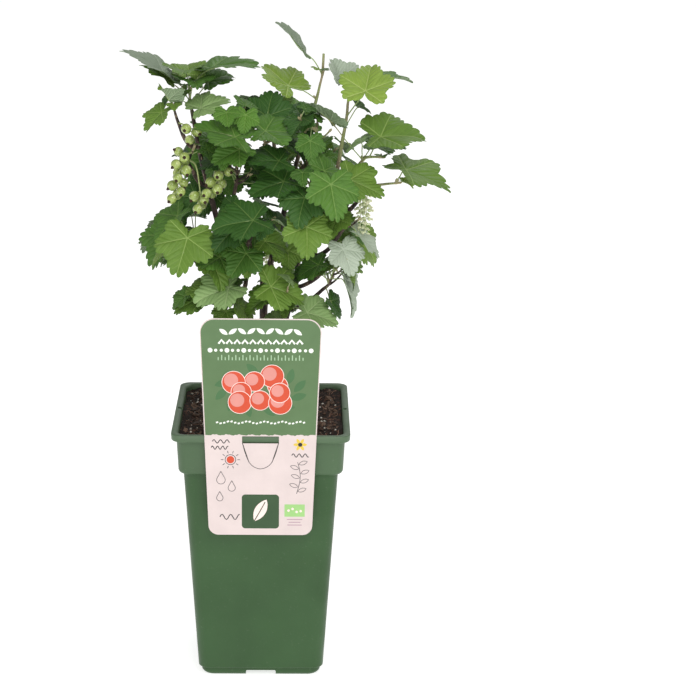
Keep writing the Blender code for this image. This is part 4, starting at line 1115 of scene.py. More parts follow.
class Gather:
    """Gathers many small shapes, in millimetres, into the arrays of one joined mesh."""

    def __init__(self):
        self.points = []
        self.faces = []
        self.kinds = []
        self.fields = {}
        self.count = 0

    def add(self, shape, kind=0, **fields):
        """Adds a shape; kind is its material's place, and a field has a value for each point."""
        points, faces = shape
        self.points.append(np.asarray(points, float))
        self.faces.append(np.asarray(faces, int) + self.count)
        self.kinds.append(np.broadcast_to(kind, len(faces)))
        for name, values in fields.items():
            values = np.asarray(values, float)
            shape = (len(points), 3) if values.shape[-1:] == (3,) else (len(points),)
            self.fields.setdefault(name, []).append(np.broadcast_to(values, shape))
        self.count += len(points)

    def mesh(self, name, materials):
        """The joined mesh, with its fields as attributes."""
        points = np.concatenate(self.points) * MM
        faces = np.concatenate(self.faces).astype(np.int32)
        mesh = bpy.data.meshes.new(name)
        mesh.vertices.add(len(points))
        mesh.vertices.foreach_set("co", points.astype(np.float32).ravel())
        mesh.loops.add(faces.size)
        mesh.loops.foreach_set("vertex_index", faces.ravel())
        mesh.polygons.add(len(faces))
        mesh.polygons.foreach_set("loop_start", np.arange(0, faces.size, 3, dtype=np.int32))
        for material in materials:
            mesh.materials.append(material)
        kinds = np.concatenate(self.kinds).astype(np.int32)
        mesh.polygons.foreach_set("material_index", kinds)
        mesh.update(calc_edges=True)
        for key, parts in self.fields.items():
            values = np.concatenate(parts).astype(np.float32)
            kind, slot = ("FLOAT_VECTOR", "vector") if values.ndim == 2 else ("FLOAT", "value")
            mesh.attributes.new(key, kind, "POINT").data.foreach_set(slot, values.ravel())
        mesh.set_sharp_from_angle(angle=SMOOTH_ANGLE)
        return mesh


def add_piece(name, mesh, nodes=()):
    """Links a piece to the scene, sets it on the root body, and hides the imported parts that it
    stands in for.
    """
    piece = bpy.data.objects.new(name, mesh)
    bpy.context.scene.collection.objects.link(piece)
    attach(piece, "root")
    if nodes:
        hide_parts(*nodes)


def smooth_path(points, steps):
    """A smooth line through points, with equally many steps between each two of them."""
    points = np.array([tuple(point) for point in points], float)
    knots = np.array([2 * points[0] - points[1], *points, 2 * points[-1] - points[-2]])
    share = (np.arange(steps) / steps)[:, None]
    parts = []
    for a, b, c, d in zip(knots, knots[1:], knots[2:], knots[3:]):
        bend = share * (2 * a - 5 * b + 4 * c - d + share * (3 * b - 3 * c + d - a))
        parts.append(b + share / 2 * (c - a + bend))
    return np.concatenate(parts + [knots[-2:-1]])


def run_along(path):
    """The length run at each point of a path."""
    return np.concatenate([[0.0], np.cumsum(np.linalg.norm(np.diff(path, axis=0), axis=1))])


def triangles(*corners):
    """The triangles of many faces at once, from arrays of three or four corners."""
    fans = [np.stack([corners[0], *pair], 1) for pair in zip(corners[1:], corners[2:])]
    return np.concatenate(fans)


def tube_faces(rings, sides):
    """The triangles of a tube of rings, closed by a point at each end."""
    here = np.arange(sides)
    after = (here + 1) % sides
    faces = []
    for low in range(0, (rings - 1) * sides, sides):
        high = low + sides
        faces.append(triangles(low + here, low + after, high + after, high + here))
    first = rings * sides
    last = first - sides
    faces += [triangles(np.full(sides, first), after, here),
              triangles(np.full(sides, first + 1), last + here, last + after)]
    return np.concatenate(faces)


def sweep(path, radii, sides):
    """A closed tube along a path; radii may give each side its own, for relief."""
    path = np.asarray([tuple(point) for point in path], float)
    radii = np.asarray(radii, float)
    radii = np.broadcast_to(radii[:, None] if radii.ndim == 1 else radii, (len(path), sides))
    ways = np.gradient(path, axis=0)
    ways /= np.linalg.norm(ways, axis=1)[:, None]
    across = np.array(Vector(ways[0]).orthogonal())
    turns = 2 * math.pi * np.arange(sides) / sides
    rings = []
    for place, way, reach in zip(path, ways, radii):
        across = across - way * across.dot(way)
        across /= np.linalg.norm(across)
        ring = np.outer(np.cos(turns), across) + np.outer(np.sin(turns), np.cross(way, across))
        rings.append(place + ring * reach[:, None])
    return np.concatenate(rings + [path[:1], path[-1:]]), tube_faces(len(path), sides)


def bead(place, axis, radii, sides=10, rings=7):
    """A rounded bead from radii along and across its axis, and its own unit points."""
    turns = np.linspace(0.0, math.pi, rings + 2)[1:-1]
    line = np.outer(-np.cos(turns), (0.0, 0.0, 1.0))
    unit, faces = sweep(line, np.sin(turns), sides)
    unit[-2:] = ((0.0, 0.0, -1.0), (0.0, 0.0, 1.0))
    axis = Vector(axis).normalized()
    turn = np.array([*square_to(axis), axis])
    return (np.array(place) + (unit * (radii[1], radii[1], radii[0])) @ turn, faces), unit


def full_reach(angle):
    """The reach of the real blade, whose lobes are fuller and whose clefts are narrower."""
    sinus = math.sin(math.pi * abs(angle) / LOBE_SPACING) ** 2
    fuller = (1 - SINUS_DEPTH * sinus ** (SINUS_POWER / 2)) / (1 - SINUS_DEPTH * sinus)
    return blade_reach(angle) * fuller


def leaf_faces():
    """The triangles of one side of a blade; its two outer rings are twice as fine."""
    half = COLUMNS // 2
    here = np.arange(half)
    after = (here + 1) % half
    faces = [triangles(here * 0, 1 + here, 1 + after)]
    low = 1
    for _ in INNER_RINGS[1:]:
        high = low + half
        faces.append(triangles(low + here, high + here, high + after, low + after))
        low = high
    high = low + half
    middle = high + 2 * here + 1
    faces += [triangles(low + here, middle - 1, middle), triangles(low + here, middle, low + after),
              triangles(low + after, middle, high + (2 * here + 2) % COLUMNS)]
    low = high
    high = low + COLUMNS
    here = np.arange(COLUMNS)
    after = (here + 1) % COLUMNS
    faces.append(triangles(low + here, high + here, high + after, low + after))
    return np.concatenate(faces)


def leaf_pattern(dice):
    """The points of a toothed blade as angles, reaches, teeth and shares, and its triangles."""
    fine = np.linspace(-math.pi, math.pi, OUTLINE_STEPS)
    reach = np.array([full_reach(angle) for angle in fine])
    run = run_along(np.stack([reach * np.cos(fine), reach * np.sin(fine)], 1))
    steps = len(TOOTH_STEPS)
    count = COLUMNS // steps
    widths = np.repeat([dice.uniform(*TOOTH_WIDTHS) for _ in range(count)], steps)
    angles = np.interp((np.cumsum(widths) - widths / 2) / widths.sum() * run[-1], run, fine)
    smooth = np.interp(angles, fine, reach)
    sizes = np.repeat([dice.uniform(*TOOTH_SPREAD) for _ in range(count)], steps)
    teeth = np.tile(TOOTH_STEPS, count) * sizes
    teeth = teeth * np.clip((math.pi - np.abs(angles)) / TOOTH_FADE, 0.0, 1.0)
    rows = [(np.zeros(1), np.zeros(1), np.zeros(1), 0.0)]
    rows += [(angles[::2], smooth[::2] * share, teeth[::2] * 0, share) for share in INNER_RINGS]
    rows.append((angles, smooth * OUTER_RING, teeth * OUTER_TOOTH, OUTER_RING))
    rows.append((angles, smooth, teeth, 1.0))
    parts = [(turn, far, tooth, np.full(len(turn), share)) for turn, far, tooth, share in rows]
    return [np.concatenate(column) for column in zip(*parts)], leaf_faces()


def leaf_shape(leaf, pattern, sizes, dice):
    """A leaf's two skins, which meet at its toothed edge, with each point's place in the blade."""
    (angles, reach, teeth, share), faces = pattern
    count = len(angles)
    width = leaf.width
    reach = reach * (1 + sizes.tooth_depth * dice.uniform(*TOOTH_DEPTHS) * teeth)
    ahead = width * reach * np.cos(angles)
    aside = width * reach * np.sin(angles)
    lobe = np.clip(np.round(angles / LOBE_SPACING), -2, 2)
    off_vein = width * reach * np.abs(np.sin(angles - lobe * LOBE_SPACING))
    rise = leaf.fold * np.abs(aside) - leaf.curl * ahead ** 2 / width
    sunk = VEIN_SINK * width * np.exp(-(off_vein / width / VEIN_SPREAD) ** 2)
    rise += PLEAT * off_vein - sunk
    rise -= DROOP * width * dice.uniform(*DROOPS) * (reach * share) ** 3
    for beats, height in WAVES:
        wave = np.cos(beats * angles + dice.uniform(0.0, math.tau))
        rise += height * width * dice.uniform(*WAVE_SIZES) * share ** 2 * wave
    rise += dice.uniform(*TWISTS) * ahead * aside / width
    aside = aside + dice.uniform(*SWEEPS) * ahead ** 2 / width
    half = np.where(share < 1.0, sizes.leaf_thickness / MM / 2, 0.0)
    base = np.array(leaf.junction) + np.outer(ahead, leaf.axis) + np.outer(aside, leaf.side)
    normal = np.array(leaf.normal)
    upper = base + np.outer(rise + half, normal)
    inner = np.flatnonzero(share < 1.0)
    lower = base[inner] + np.outer(rise[inner] - half[inner], normal)
    place = np.where(share < 1.0, count + np.arange(count), np.arange(count))
    both = np.concatenate([faces, place[faces[:, ::-1]]])
    blade = np.stack([reach * np.sin(angles), reach * np.cos(angles), share], 1)
    return (np.concatenate([upper, lower]), both), np.concatenate([blade, blade[inner]])


def stalk_shape(leaf, radius, dice):
    """A leaf's stalk: wide where it clasps the twig, bowed, and run out along the midrib."""
    way = leaf.junction - leaf.root
    length = way.length
    bow = UP - way.normalized() * way.normalized().z
    bow = bow * length * STALK_BOW * dice.uniform(-0.3, 1.3)
    under = leaf.normal * (radius * 0.9)
    path = smooth_path([
        leaf.root, leaf.root + way * 0.10 + bow * 0.35, leaf.root + way * 0.5 + bow,
        leaf.junction - way * 0.06 - under * 0.6, blade_point(leaf, 0.0, 0.30) - under],
        STALK_STEPS)
    run = run_along(path) / length
    clasp = 0.75 * np.exp(-(run / 0.07) ** 2)
    radii = radius * (0.82 + clasp + 0.22 * np.exp(-((run - 1) / 0.07) ** 2))
    radii = np.where(run > 1.0, radii * np.clip(1.25 - (run - 1.0) * 2.4, 0.25, 1.0), radii)
    return sweep(path, radii, STALK_SIDES)


def shoot_mass(mass, twig, number):
    """A side shoot as a smaller mass of its own, and its twig."""
    place, _ = point_along(twig, SHOOT_SHARES[number])
    bearing = math.radians(mass.bearing + SHOOT_TURN) + number * TURN
    way = (level(bearing) * math.cos(SHOOT_RISE) + UP * math.sin(SHOOT_RISE)).normalized()
    tip = place + way * SHOOT_LENGTH + UP * SHOOT_LENGTH * SHOOT_BEND
    small = mass._replace(name=mass.name + "_shoot", leaves=SHOOT_LEAVES,
                          blade=mass.blade * SHOOT_BLADE, stalk=mass.stalk * SHOOT_STALK,
                          bearing=math.degrees(bearing) + 90, seed=mass.seed + SHOOT_SEED + number)
    return small, [place, place + way * SHOOT_LENGTH * 0.5, tip]


def tip_mass(mass, twig):
    """The youngest leaves as a small mass of its own at the end of a twig, and its stub."""
    foot, along = point_along(twig, 1.0)
    small = mass._replace(name=mass.name + "_tip", leaves=TIP_LEAVES, blade=mass.blade * TIP_BLADE,
                          stalk=TIP_STALK, seed=mass.seed + TIP_SEED)
    return small, [foot, foot + along * TIP_LENGTH * 0.5, foot + along * TIP_LENGTH]


def grow_late(twigs, ways, taken):
    """Grows the leaves that only fit at their real thickness, each tried ever further away."""
    late = {name: [] for name in twigs}
    for key in LATE_LEAVES:
        dice = random.Random(str(key.place))
        for attempt in range(TRIES):
            spread = attempt * LATE_SPREAD
            place = tuple(part + dice.uniform(-spread, spread) for part in key.place)
            bearing = key.bearing + dice.uniform(-LATE_TURN, LATE_TURN) * attempt
            leaf = key_leaf(key._replace(place=place, bearing=bearing), twigs[key.mass])
            blade = blade_shape(leaf, 2 * LATE_ROOM)
            if behind_label(leaf) and not touches(blade, ways + taken):
                late[key.mass].append((leaf, key.shade))
                taken.append(tree_of(blade))
                break
    return late


def grow_bush(shoots):
    """Grows the shrub as the solids do, and then its side shoots where they find room."""
    limbs = all_limbs()
    twigs, leaves, trusses = grow_masses(limbs)
    taken = [tree for limb in limbs.values()
             for tree in limb_trees(limb.points, limb.foot_radius, limb.tip_radius)]
    shown = {}
    for name in MASS_NAMES:
        taken += limb_trees(twigs[name], TWIG_RADIUS, TWIG_TIP_RADIUS)
        for thread, berries in trusses[name]:
            taken += truss_trees(thread, berries)
        for leaf in leaves[name]:
            taken.append(tree_of(blade_shape(leaf, LEAF_THICKNESS, TRIAL_SCALE)))
        shown[name] = leaves[name][:sum(key.mass == name for key in KEY_LEAVES)]
    ways = kept_ways(shown)
    late = grow_late(twigs, ways, taken)
    sprays = []
    for mass in MASSES:
        twig = twigs[mass.name]
        count = 0 if mass.name in BARE_MASSES else shoots
        small_masses = [shoot_mass(mass, twig, number) for number in range(count)]
        for small, line in small_masses + [tip_mass(mass, twig)]:
            grown = grow_rest(small, line, ways, taken)
            if grown:
                sprays.append((mass.name, line, grown))
    return Bush(limbs, twigs, leaves, trusses, sprays, late)


def rounded_square(half, radius, height):
    """A ring of points round a square with rounded corners."""
    ring = []
    for corner in range(4):
        middle = math.radians(45 + 90 * corner)
        for step in range(CORNER_STEPS + 1):
            angle = math.radians(90) * (corner + step / CORNER_STEPS)
            x = (half - radius) * math.copysign(1, math.cos(middle)) + radius * math.cos(angle)
            y = (half - radius) * math.copysign(1, math.sin(middle)) + radius * math.sin(angle)
            ring.append((x, y, height))
    return ring


def body_half(height):
    """Half the width of the pot's tapered body at a height."""
    share = (height - BODY_FOOT_Z) / (COLLAR_FOOT_Z - BODY_FOOT_Z)
    return BODY_FOOT_HALF + (BODY_TOP_HALF - BODY_FOOT_HALF) * share


def filleted(profile, radius, steps=4):
    """A profile whose inner corners are rounded, as a mould leaves them."""
    rounded = [profile[0]]
    for before, corner, after in zip(profile, profile[1:], profile[2:]):
        corner = Vector(corner)
        start, end = [corner + side.normalized() * min(radius, side.length * FILLET_SHARE)
                      for side in (Vector(before) - corner, Vector(after) - corner)]
        for step in range(steps + 1):
            share = step / steps
            rounded.append(tuple(start.lerp(corner, share).lerp(corner.lerp(end, share), share)))
    return rounded + [profile[-1]]


def pot_skin():
    """The pot's outside and inside in one closed skin."""
    lip_foot = POT_HEIGHT - LIP_HEIGHT
    profile = filleted([
        (FOOT_HALF - FOOT_RING, 0.0), (FOOT_HALF + 1.6, 0.0), (FOOT_EDGE_HALF, 3.0),
        (FOOT_EDGE_HALF, BODY_FOOT_Z - 0.2), (BODY_FOOT_HALF, BODY_FOOT_Z + 0.2),
        (BODY_TOP_HALF, COLLAR_FOOT_Z - 2.4), (COLLAR_FOOT_HALF - 1.0, COLLAR_FOOT_Z - 1.2),
        (COLLAR_FOOT_HALF, COLLAR_FOOT_Z + 1.0), (COLLAR_TOP_HALF, lip_foot - 1.8),
        (LIP_HALF - 0.4, lip_foot - 0.6), (LIP_HALF, POT_HEIGHT),
        (LIP_HALF - LIP_WIDTH, POT_HEIGHT), (COLLAR_TOP_HALF - WALL, POT_HEIGHT - 1.6),
        (COLLAR_FOOT_HALF - WALL, COLLAR_FOOT_Z + 1.0), (BODY_TOP_HALF - WALL, COLLAR_FOOT_Z - 1.4),
        (body_half(FLOOR) - WALL, FLOOR), (FOOT_HALF - FOOT_RING, FLOOR),
    ], POT_FILLET)
    bm = bmesh.new()
    loops = [[bm.verts.new(Vector(point) * MM)
              for point in rounded_square(half, CORNER_RADIUS, height)] for half, height in profile]
    for lower, upper in zip(loops, loops[1:]):
        for i in range(len(lower)):
            j = (i + 1) % len(lower)
            bm.faces.new((lower[i], lower[j], upper[j], upper[i]))
    bm.faces.new(reversed(loops[0]))
    bm.faces.new(loops[-1])
    mesh = bpy.data.meshes.new("pot_skin")
    bm.to_mesh(mesh)
    bm.free()
    return mesh


def pot_mesh(material):
    """The pot, with a notch cut into each side of its foot and two small ones into its lip."""
    pot = bpy.data.objects.new("pot_skin", pot_skin())
    bpy.context.scene.collection.objects.link(pot)
    notches = bpy.data.collections.new("notches")
    cuts = [(quarter, FOOT_NOTCH, FOOT_EDGE_HALF, 0.0) for quarter in range(4)]
    cuts += [(quarter, LIP_NOTCH, LIP_HALF - LIP_WIDTH, POT_HEIGHT) for quarter in (1, 3)]
    for quarter, size, far, height in cuts:
        bpy.ops.mesh.primitive_cube_add(size=MM)
        notch = bpy.context.object
        bevel = notch.modifiers.new("round", "BEVEL")
        bevel.width = NOTCH_ROUND * MM
        bevel.segments = 4
        notch.data.transform(Matrix.Diagonal((*size, 1)))
        notch.data.transform(Matrix.Translation((0.0, -far * MM, height * MM)))
        notch.data.transform(Matrix.Rotation(math.radians(90) * quarter, 4, "Z"))
        notches.objects.link(notch)
    cut = pot.modifiers.new("notches", "BOOLEAN")
    cut.operation = "DIFFERENCE"
    cut.operand_type = "COLLECTION"
    cut.collection = notches
    depsgraph = bpy.context.evaluated_depsgraph_get()
    whole = bpy.data.meshes.new_from_object(pot.evaluated_get(depsgraph))
    for item in [pot, *notches.objects]:
        bpy.data.objects.remove(item)
    bpy.data.collections.remove(notches)
    whole.materials.clear()
    whole.materials.append(material)
    whole.set_sharp_from_angle(angle=SMOOTH_ANGLE)
    return whole


def soil_height(x, y):
    """The height of the soil's crumbly top: flat under the shrub, and banked up at the walls."""
    away = math.hypot(x, y)
    fade = min(1.0, max(0.0, (away - SOIL_FLAT_RADIUS) / SOIL_FLAT_RADIUS))
    waves = math.sin(x * 0.11 + 1.0) + math.sin(y * 0.13) + math.sin((x + y) * 0.07)
    bank = max(0.0, 1 - (SOIL_REACH - max(abs(x), abs(y))) / SOIL_BANK_WIDTH)
    height = SOIL_TOP + SOIL_LUMP * fade * waves + SOIL_BANK * bank ** 2
    for beat, rise in CRUMBS:
        height += rise * noise.noise(Vector((x * beat, y * beat, beat * 40)))
    return height


def soil_shape():
    """The whole filling of the pot: a crumbly top, and a skirt that follows the pot's inside."""
    steps = np.linspace(-1.0, 1.0, SOIL_GRID) * SOIL_REACH
    x, y = [part.ravel() for part in np.meshgrid(steps, steps, indexing="ij")]
    inner = SOIL_REACH - CORNER_RADIUS
    over_x = np.maximum(np.abs(x) - inner, 0.0)
    over_y = np.maximum(np.abs(y) - inner, 0.0)
    far = np.maximum(np.hypot(over_x, over_y), 0.001)
    pull = np.where((over_x > 0) & (over_y > 0), np.maximum(over_x, over_y) / far, 1.0)
    x = np.sign(x) * (np.minimum(np.abs(x), inner) + over_x * pull)
    y = np.sign(y) * (np.minimum(np.abs(y), inner) + over_y * pull)
    top = np.array([(a, b, soil_height(a, b)) for a, b in zip(x, y)])
    grid = np.arange(SOIL_GRID ** 2).reshape(SOIL_GRID, SOIL_GRID)
    corners = grid[:-1, :-1], grid[1:, :-1], grid[1:, 1:], grid[:-1, 1:]
    faces = [triangles(*[part.ravel() for part in corners])]
    rim = np.concatenate([grid[:-1, 0], grid[-1, :-1], grid[:0:-1, -1], grid[0, :0:-1]])
    skirt = [top]
    before = rim
    for half, height in ((COLLAR_FOOT_HALF, COLLAR_FOOT_Z + 2.5),
                         (BODY_TOP_HALF, COLLAR_FOOT_Z - 1.5), (body_half(FLOOR), FLOOR + GAP)):
        ring = top[rim] * ((half - WALL - 1.0) / SOIL_HALF)
        ring[:, 2] = height
        after = sum(len(part) for part in skirt) + np.arange(len(rim))
        skirt.append(ring)
        faces.append(triangles(before, after, np.roll(after, -1), np.roll(before, -1)))
        before = after
    skirt.append(np.array([(0.0, 0.0, FLOOR + GAP)]))
    foot = np.full(len(rim), before[-1] + 1)
    faces.append(triangles(before, foot, np.roll(before, -1)))
    return np.concatenate(skirt), np.concatenate(faces)


def on_soil(dice):
    """A place on the soil, clear of the trunk and the pot."""
    while True:
        x, y = [dice.uniform(-SOIL_HALF, SOIL_HALF) * 0.97 for _ in range(2)]
        away = math.hypot(max(abs(x) - SOIL_HALF + CORNER_RADIUS, 0.0),
                          max(abs(y) - SOIL_HALF + CORNER_RADIUS, 0.0))
        if math.hypot(x, y) > TRUNK_FOOT_RADIUS + 3.0 and away < CORNER_RADIUS - 2.5:
            return x, y


def chip_shape(x, y, dice):
    """A torn flake of bark: a box with every corner pulled about, lying as it fell."""
    length = 1.6 + 6.5 * dice.random() ** 2.2
    size = (length, length * dice.uniform(0.3, 0.7), length * dice.uniform(0.12, 0.3) + 0.3)
    signs = np.array([(i, j, k) for i in (-1, 1) for j in (-1, 1) for k in (-1, 1)], float)
    torn = np.array([[dice.uniform(0.55, 1.15) for _ in range(3)] for _ in range(8)])
    tilt = Matrix.Rotation(dice.uniform(0.0, math.tau), 3, "Z")
    for axis in "XY":
        tilt = tilt @ Matrix.Rotation(dice.gauss(0.0, 0.35), 3, axis)
    points = (signs * torn * size / 2) @ np.array(tilt.transposed())
    quads = ((0, 1, 3, 2), (4, 6, 7, 5), (0, 4, 5, 1), (2, 3, 7, 6), (0, 2, 6, 4), (1, 5, 7, 3))
    faces = [(quad[0], *pair) for quad in quads for pair in (quad[1:3], quad[2:])]
    return points + np.array((x, y, soil_height(x, y) + 0.25)), faces


def fibre_shape(x, y, dice):
    """A thin dry root that wanders over the soil."""
    turn = dice.uniform(0.0, math.tau)
    step = dice.uniform(3.0, 11.0) / 4
    edge = SOIL_HALF - SOIL_EDGE
    line = []
    for _ in range(5):
        line.append((x, y, soil_height(x, y) + dice.uniform(0.1, 0.9)))
        turn += dice.uniform(-0.5, 0.5)
        x = max(-edge, min(edge, x + math.cos(turn) * step))
        y = max(-edge, min(edge, y + math.sin(turn) * step))
    thick = dice.uniform(0.14, 0.30)
    return sweep(line, [thick, thick, thick, thick * 0.8, thick * 0.5], 5)


def perlite_shape(x, y, dice):
    """A popped grain of perlite, uneven all over."""
    radius = dice.uniform(0.40, 1.25)
    axis = [dice.uniform(-1, 1) for _ in range(3)]
    place = (x, y, soil_height(x, y) + radius * 0.3)
    (points, faces), unit = bead(place, axis, (radius, radius * dice.uniform(0.7, 1.0)), 7, 4)
    rough = [noise.noise(Vector(point) * 1.7 + Vector((x, y, 0))) for point in unit]
    centre = points.mean(0)
    return centre + (points - centre) * (1 + 0.25 * np.array(rough))[:, None], faces


def strew(bit_shape, count, dice):
    """Many loose bits on the soil, each with a tint of its own."""
    bits = Gather()
    for _ in range(count):
        x, y = on_soil(dice)
        bits.add(bit_shape(x, y, dice), tint=dice.random())
    return bits


def bark_radii(path, first, last, phase, collar=0.0):
    """A limb's radius all round: it tapers, swells at its nodes and is ridged lengthwise."""
    run = run_along(path)
    turns = 2 * math.pi * np.arange(WOOD_SIDES) / WOOD_SIDES
    radii = np.empty((len(path), WOOD_SIDES))
    for i, length in enumerate(run):
        radius = first + (last - first) * length / run[-1]
        radius *= 1 + collar * math.exp(-(length / COLLAR_LENGTH) ** 2)
        node = round(length / NODE_STEP)
        near = math.exp(-((length - node * NODE_STEP) / NODE_LENGTH) ** 2) if node else 0.0
        for j, turn in enumerate(turns):
            place = Vector((math.cos(turn) * 1.9 + phase, math.sin(turn) * 1.9, length / 15))
            scar = NODE_SWELL * near * (0.4 + 0.6 * math.cos(turn - node * TURN))
            radii[i, j] = radius * (1 + RIDGE * noise.noise(place) + scar)
    return radii


def wood_path(points, sink):
    """A limb's smooth line in the wood's steps; its foot sinks into what carries it."""
    points = [Vector(point) for point in points]
    points[0] = points[0] - (points[1] - points[0]).normalized() * sink
    length = sum((b - a).length for a, b in zip(points, points[1:]))
    return smooth_path(points, max(3, round(length / (len(points) - 1) / WOOD_STEP)))


def trunk_shape():
    """The stems' common foot: it flares to the roots below and is domed under the fork."""
    dome_foot = TRUNK_FORK_Z - 3.0
    heights = np.concatenate([np.arange(SOIL_TOP - 5.0, dome_foot, 2.0),
                              dome_foot + np.array([0.0, 1.6, 3.0, 4.1, 4.8])])
    turns = 2 * math.pi * np.arange(TRUNK_SIDES) / TRUNK_SIDES
    radii = []
    for height in heights:
        share = max(0.0, (height - SOIL_TOP) / (TRUNK_FORK_Z - SOIL_TOP))
        taper = (TRUNK_FORK_RADIUS - TRUNK_FOOT_RADIUS) * min(1.0, share ** 0.6)
        flare = ROOT_FLARE * math.exp(-max(0.0, height - SOIL_TOP + 1.0) / 3.5)
        dome = max(0.0, height - dome_foot) / 5.0
        radius = (TRUNK_FOOT_RADIUS + taper + flare) * math.sqrt(max(0.02, 1 - dome ** 2))
        lobes = 0.07 * np.cos(3 * turns + 0.6) * (1 - dome)
        around = [Vector((math.cos(turn) * 3.0, math.sin(turn) * 3.0, height / 14))
                  for turn in turns]
        radii.append(radius * (1 + lobes + [RIDGE * noise.noise(place) for place in around]))
    return sweep(np.stack([heights * 0, heights * 0, heights], 1), radii, TRUNK_SIDES)


def wood_mesh(limbs, material):
    """Trunk, stems and boughs with their relief."""
    wood = Gather()
    wood.add(trunk_shape())
    for number, limb in enumerate(limbs.values()):
        path = wood_path(limb.points, STEM_SINK if limb.name.startswith("stem") else BOUGH_SINK)
        radii = bark_radii(path, limb.foot_radius, TWIG_RADIUS, number * 7.3, BOUGH_COLLAR)
        wood.add(sweep(path, radii, WOOD_SIDES))
    return wood.mesh("shrub_wood", [material])


def bud_shape(place, way, length):
    return bead(Vector(place) + way * length * 0.35, way, (length, length * 0.45), 8, 5)[0]


def stalks_mesh(bush, sizes, materials):
    """Twigs, side shoots, leaf stalks and buds in one joined mesh."""
    dice = random.Random(STALK_SEED)
    stalks = Gather()
    lines = [(bush.twigs[name], TWIG_RADIUS, TWIG_TIP_RADIUS) for name in MASS_NAMES]
    lines += [(twig, SHOOT_RADIUS, SHOOT_TIP_RADIUS) for _, twig, _ in bush.sprays]
    for number, (twig, first, last) in enumerate(lines):
        path = wood_path(twig, TWIG_SINK)
        radii = bark_radii(path, first, last, number * 3.1)[:, ::2]
        stalks.add(sweep(path, radii, WOOD_SIDES // 2), 1)
        way = Vector(path[-1] - path[-2]).normalized()
        stalks.add(bud_shape(path[-1], way, BUD_LENGTH), 2)
    path = smooth_path([*bush.twigs[LEADER_MASS][-2:], LEADER_TIP], 5)[5:]
    stalks.add(sweep(path, np.linspace(*LEADER_RADII, len(path)), WOOD_SIDES // 2), 1)
    leaves = [leaf for name in MASS_NAMES for leaf in bush.leaves[name]]
    leaves += [leaf for _, _, grown in bush.sprays for leaf in grown]
    leaves += [leaf for grown in bush.late.values() for leaf, _ in grown]
    for leaf in leaves:
        radius = sizes.stalk_radius / MM * (0.75 + 0.25 * leaf.width / 46)
        stalks.add(stalk_shape(leaf, radius, dice), 0)
        if dice.random() < BUD_CHANCE:
            way = (leaf.junction - leaf.root).normalized()
            foot = leaf.root + (way + UP * 0.8) * 1.2
            stalks.add(bud_shape(foot, (way + UP).normalized(), SIDE_BUD_LENGTH), 2)
    return stalks.mesh("stalks", materials)


def leaves_mesh(mass, bush, sizes, patterns, materials):
    """A mass's leaves: upper skins in its two shades, and the silvery lower skin."""
    dice = random.Random(mass.seed + LEAF_SEED)
    names = sorted(materials)
    grown = [(leaf, None) for leaf in bush.leaves[mass.name]] + bush.late[mass.name]
    grown += [(leaf, None) for name, _, small in bush.sprays if name == mass.name
              for leaf in small]
    gather = Gather()
    for number, (leaf, shade) in enumerate(grown):
        shape, blade = leaf_shape(leaf, dice.choice(patterns), sizes, dice)
        drawn = mass.shades[0] if dice.random() < FIRST_DRESS else mass.shades[1]
        shown = number < len(mass.shown)
        shade = mass.shown[number] if shown else shade or drawn
        kinds = np.full(len(shape[1]), names.index("under"))
        kinds[:len(shape[1]) // 2] = names.index(shade)
        gather.add(shape, kinds, blade=blade, tint=dice.uniform(*(KEY_TINTS if shown else TINTS)))
    return gather.mesh("leaves_" + mass.name, [materials[name] for name in names])


def hang_berries(bush, sizes, materials):
    """Trusses of unripe berries: strig, pedicels, glassy berries and the dry tuft on each."""
    dice = random.Random(BERRY_SEED)
    radius = sizes.berry_radius / MM
    gather = Gather()
    no_place = (0.0, 0.0, 0.0)
    for thread, berries in [truss for name in MASS_NAMES for truss in bush.trusses[name]]:
        path = smooth_path(thread, 6)
        gather.add(sweep(path, np.linspace(*STRIG_RADII, len(path)), 6), 1, berry=no_place)
        along = (thread[2] - thread[1]).normalized()
        for place in berries:
            step = (place - thread[1]).dot(along)
            foot = thread[1] + along * max(0.0, step - radius * 0.8)
            outward = Vector((place.x * 0.3, place.y, 0.0)).normalized()
            axis = (place - foot).normalized() * 0.8 + outward * 0.75 - UP * 0.3
            axis.normalize()
            size = radius * dice.uniform(*BERRY_SIZES)
            shape, unit = bead(place, axis, (size, size), 20, 13)
            gather.add(shape, 0, berry=unit)
            middle = foot.lerp(place - axis * size, 0.5) + UP * 0.6
            pedicel = smooth_path([foot, middle, place - axis * size * 0.9], 3)
            gather.add(sweep(pedicel, PEDICEL_RADIUS, 5), 1, berry=no_place)
            tuft = [place + axis * size * share for share in TUFT_STEPS]
            gather.add(sweep(tuft, TUFT_RADII, 7), 2, berry=no_place)
    return gather.mesh("berries", materials)


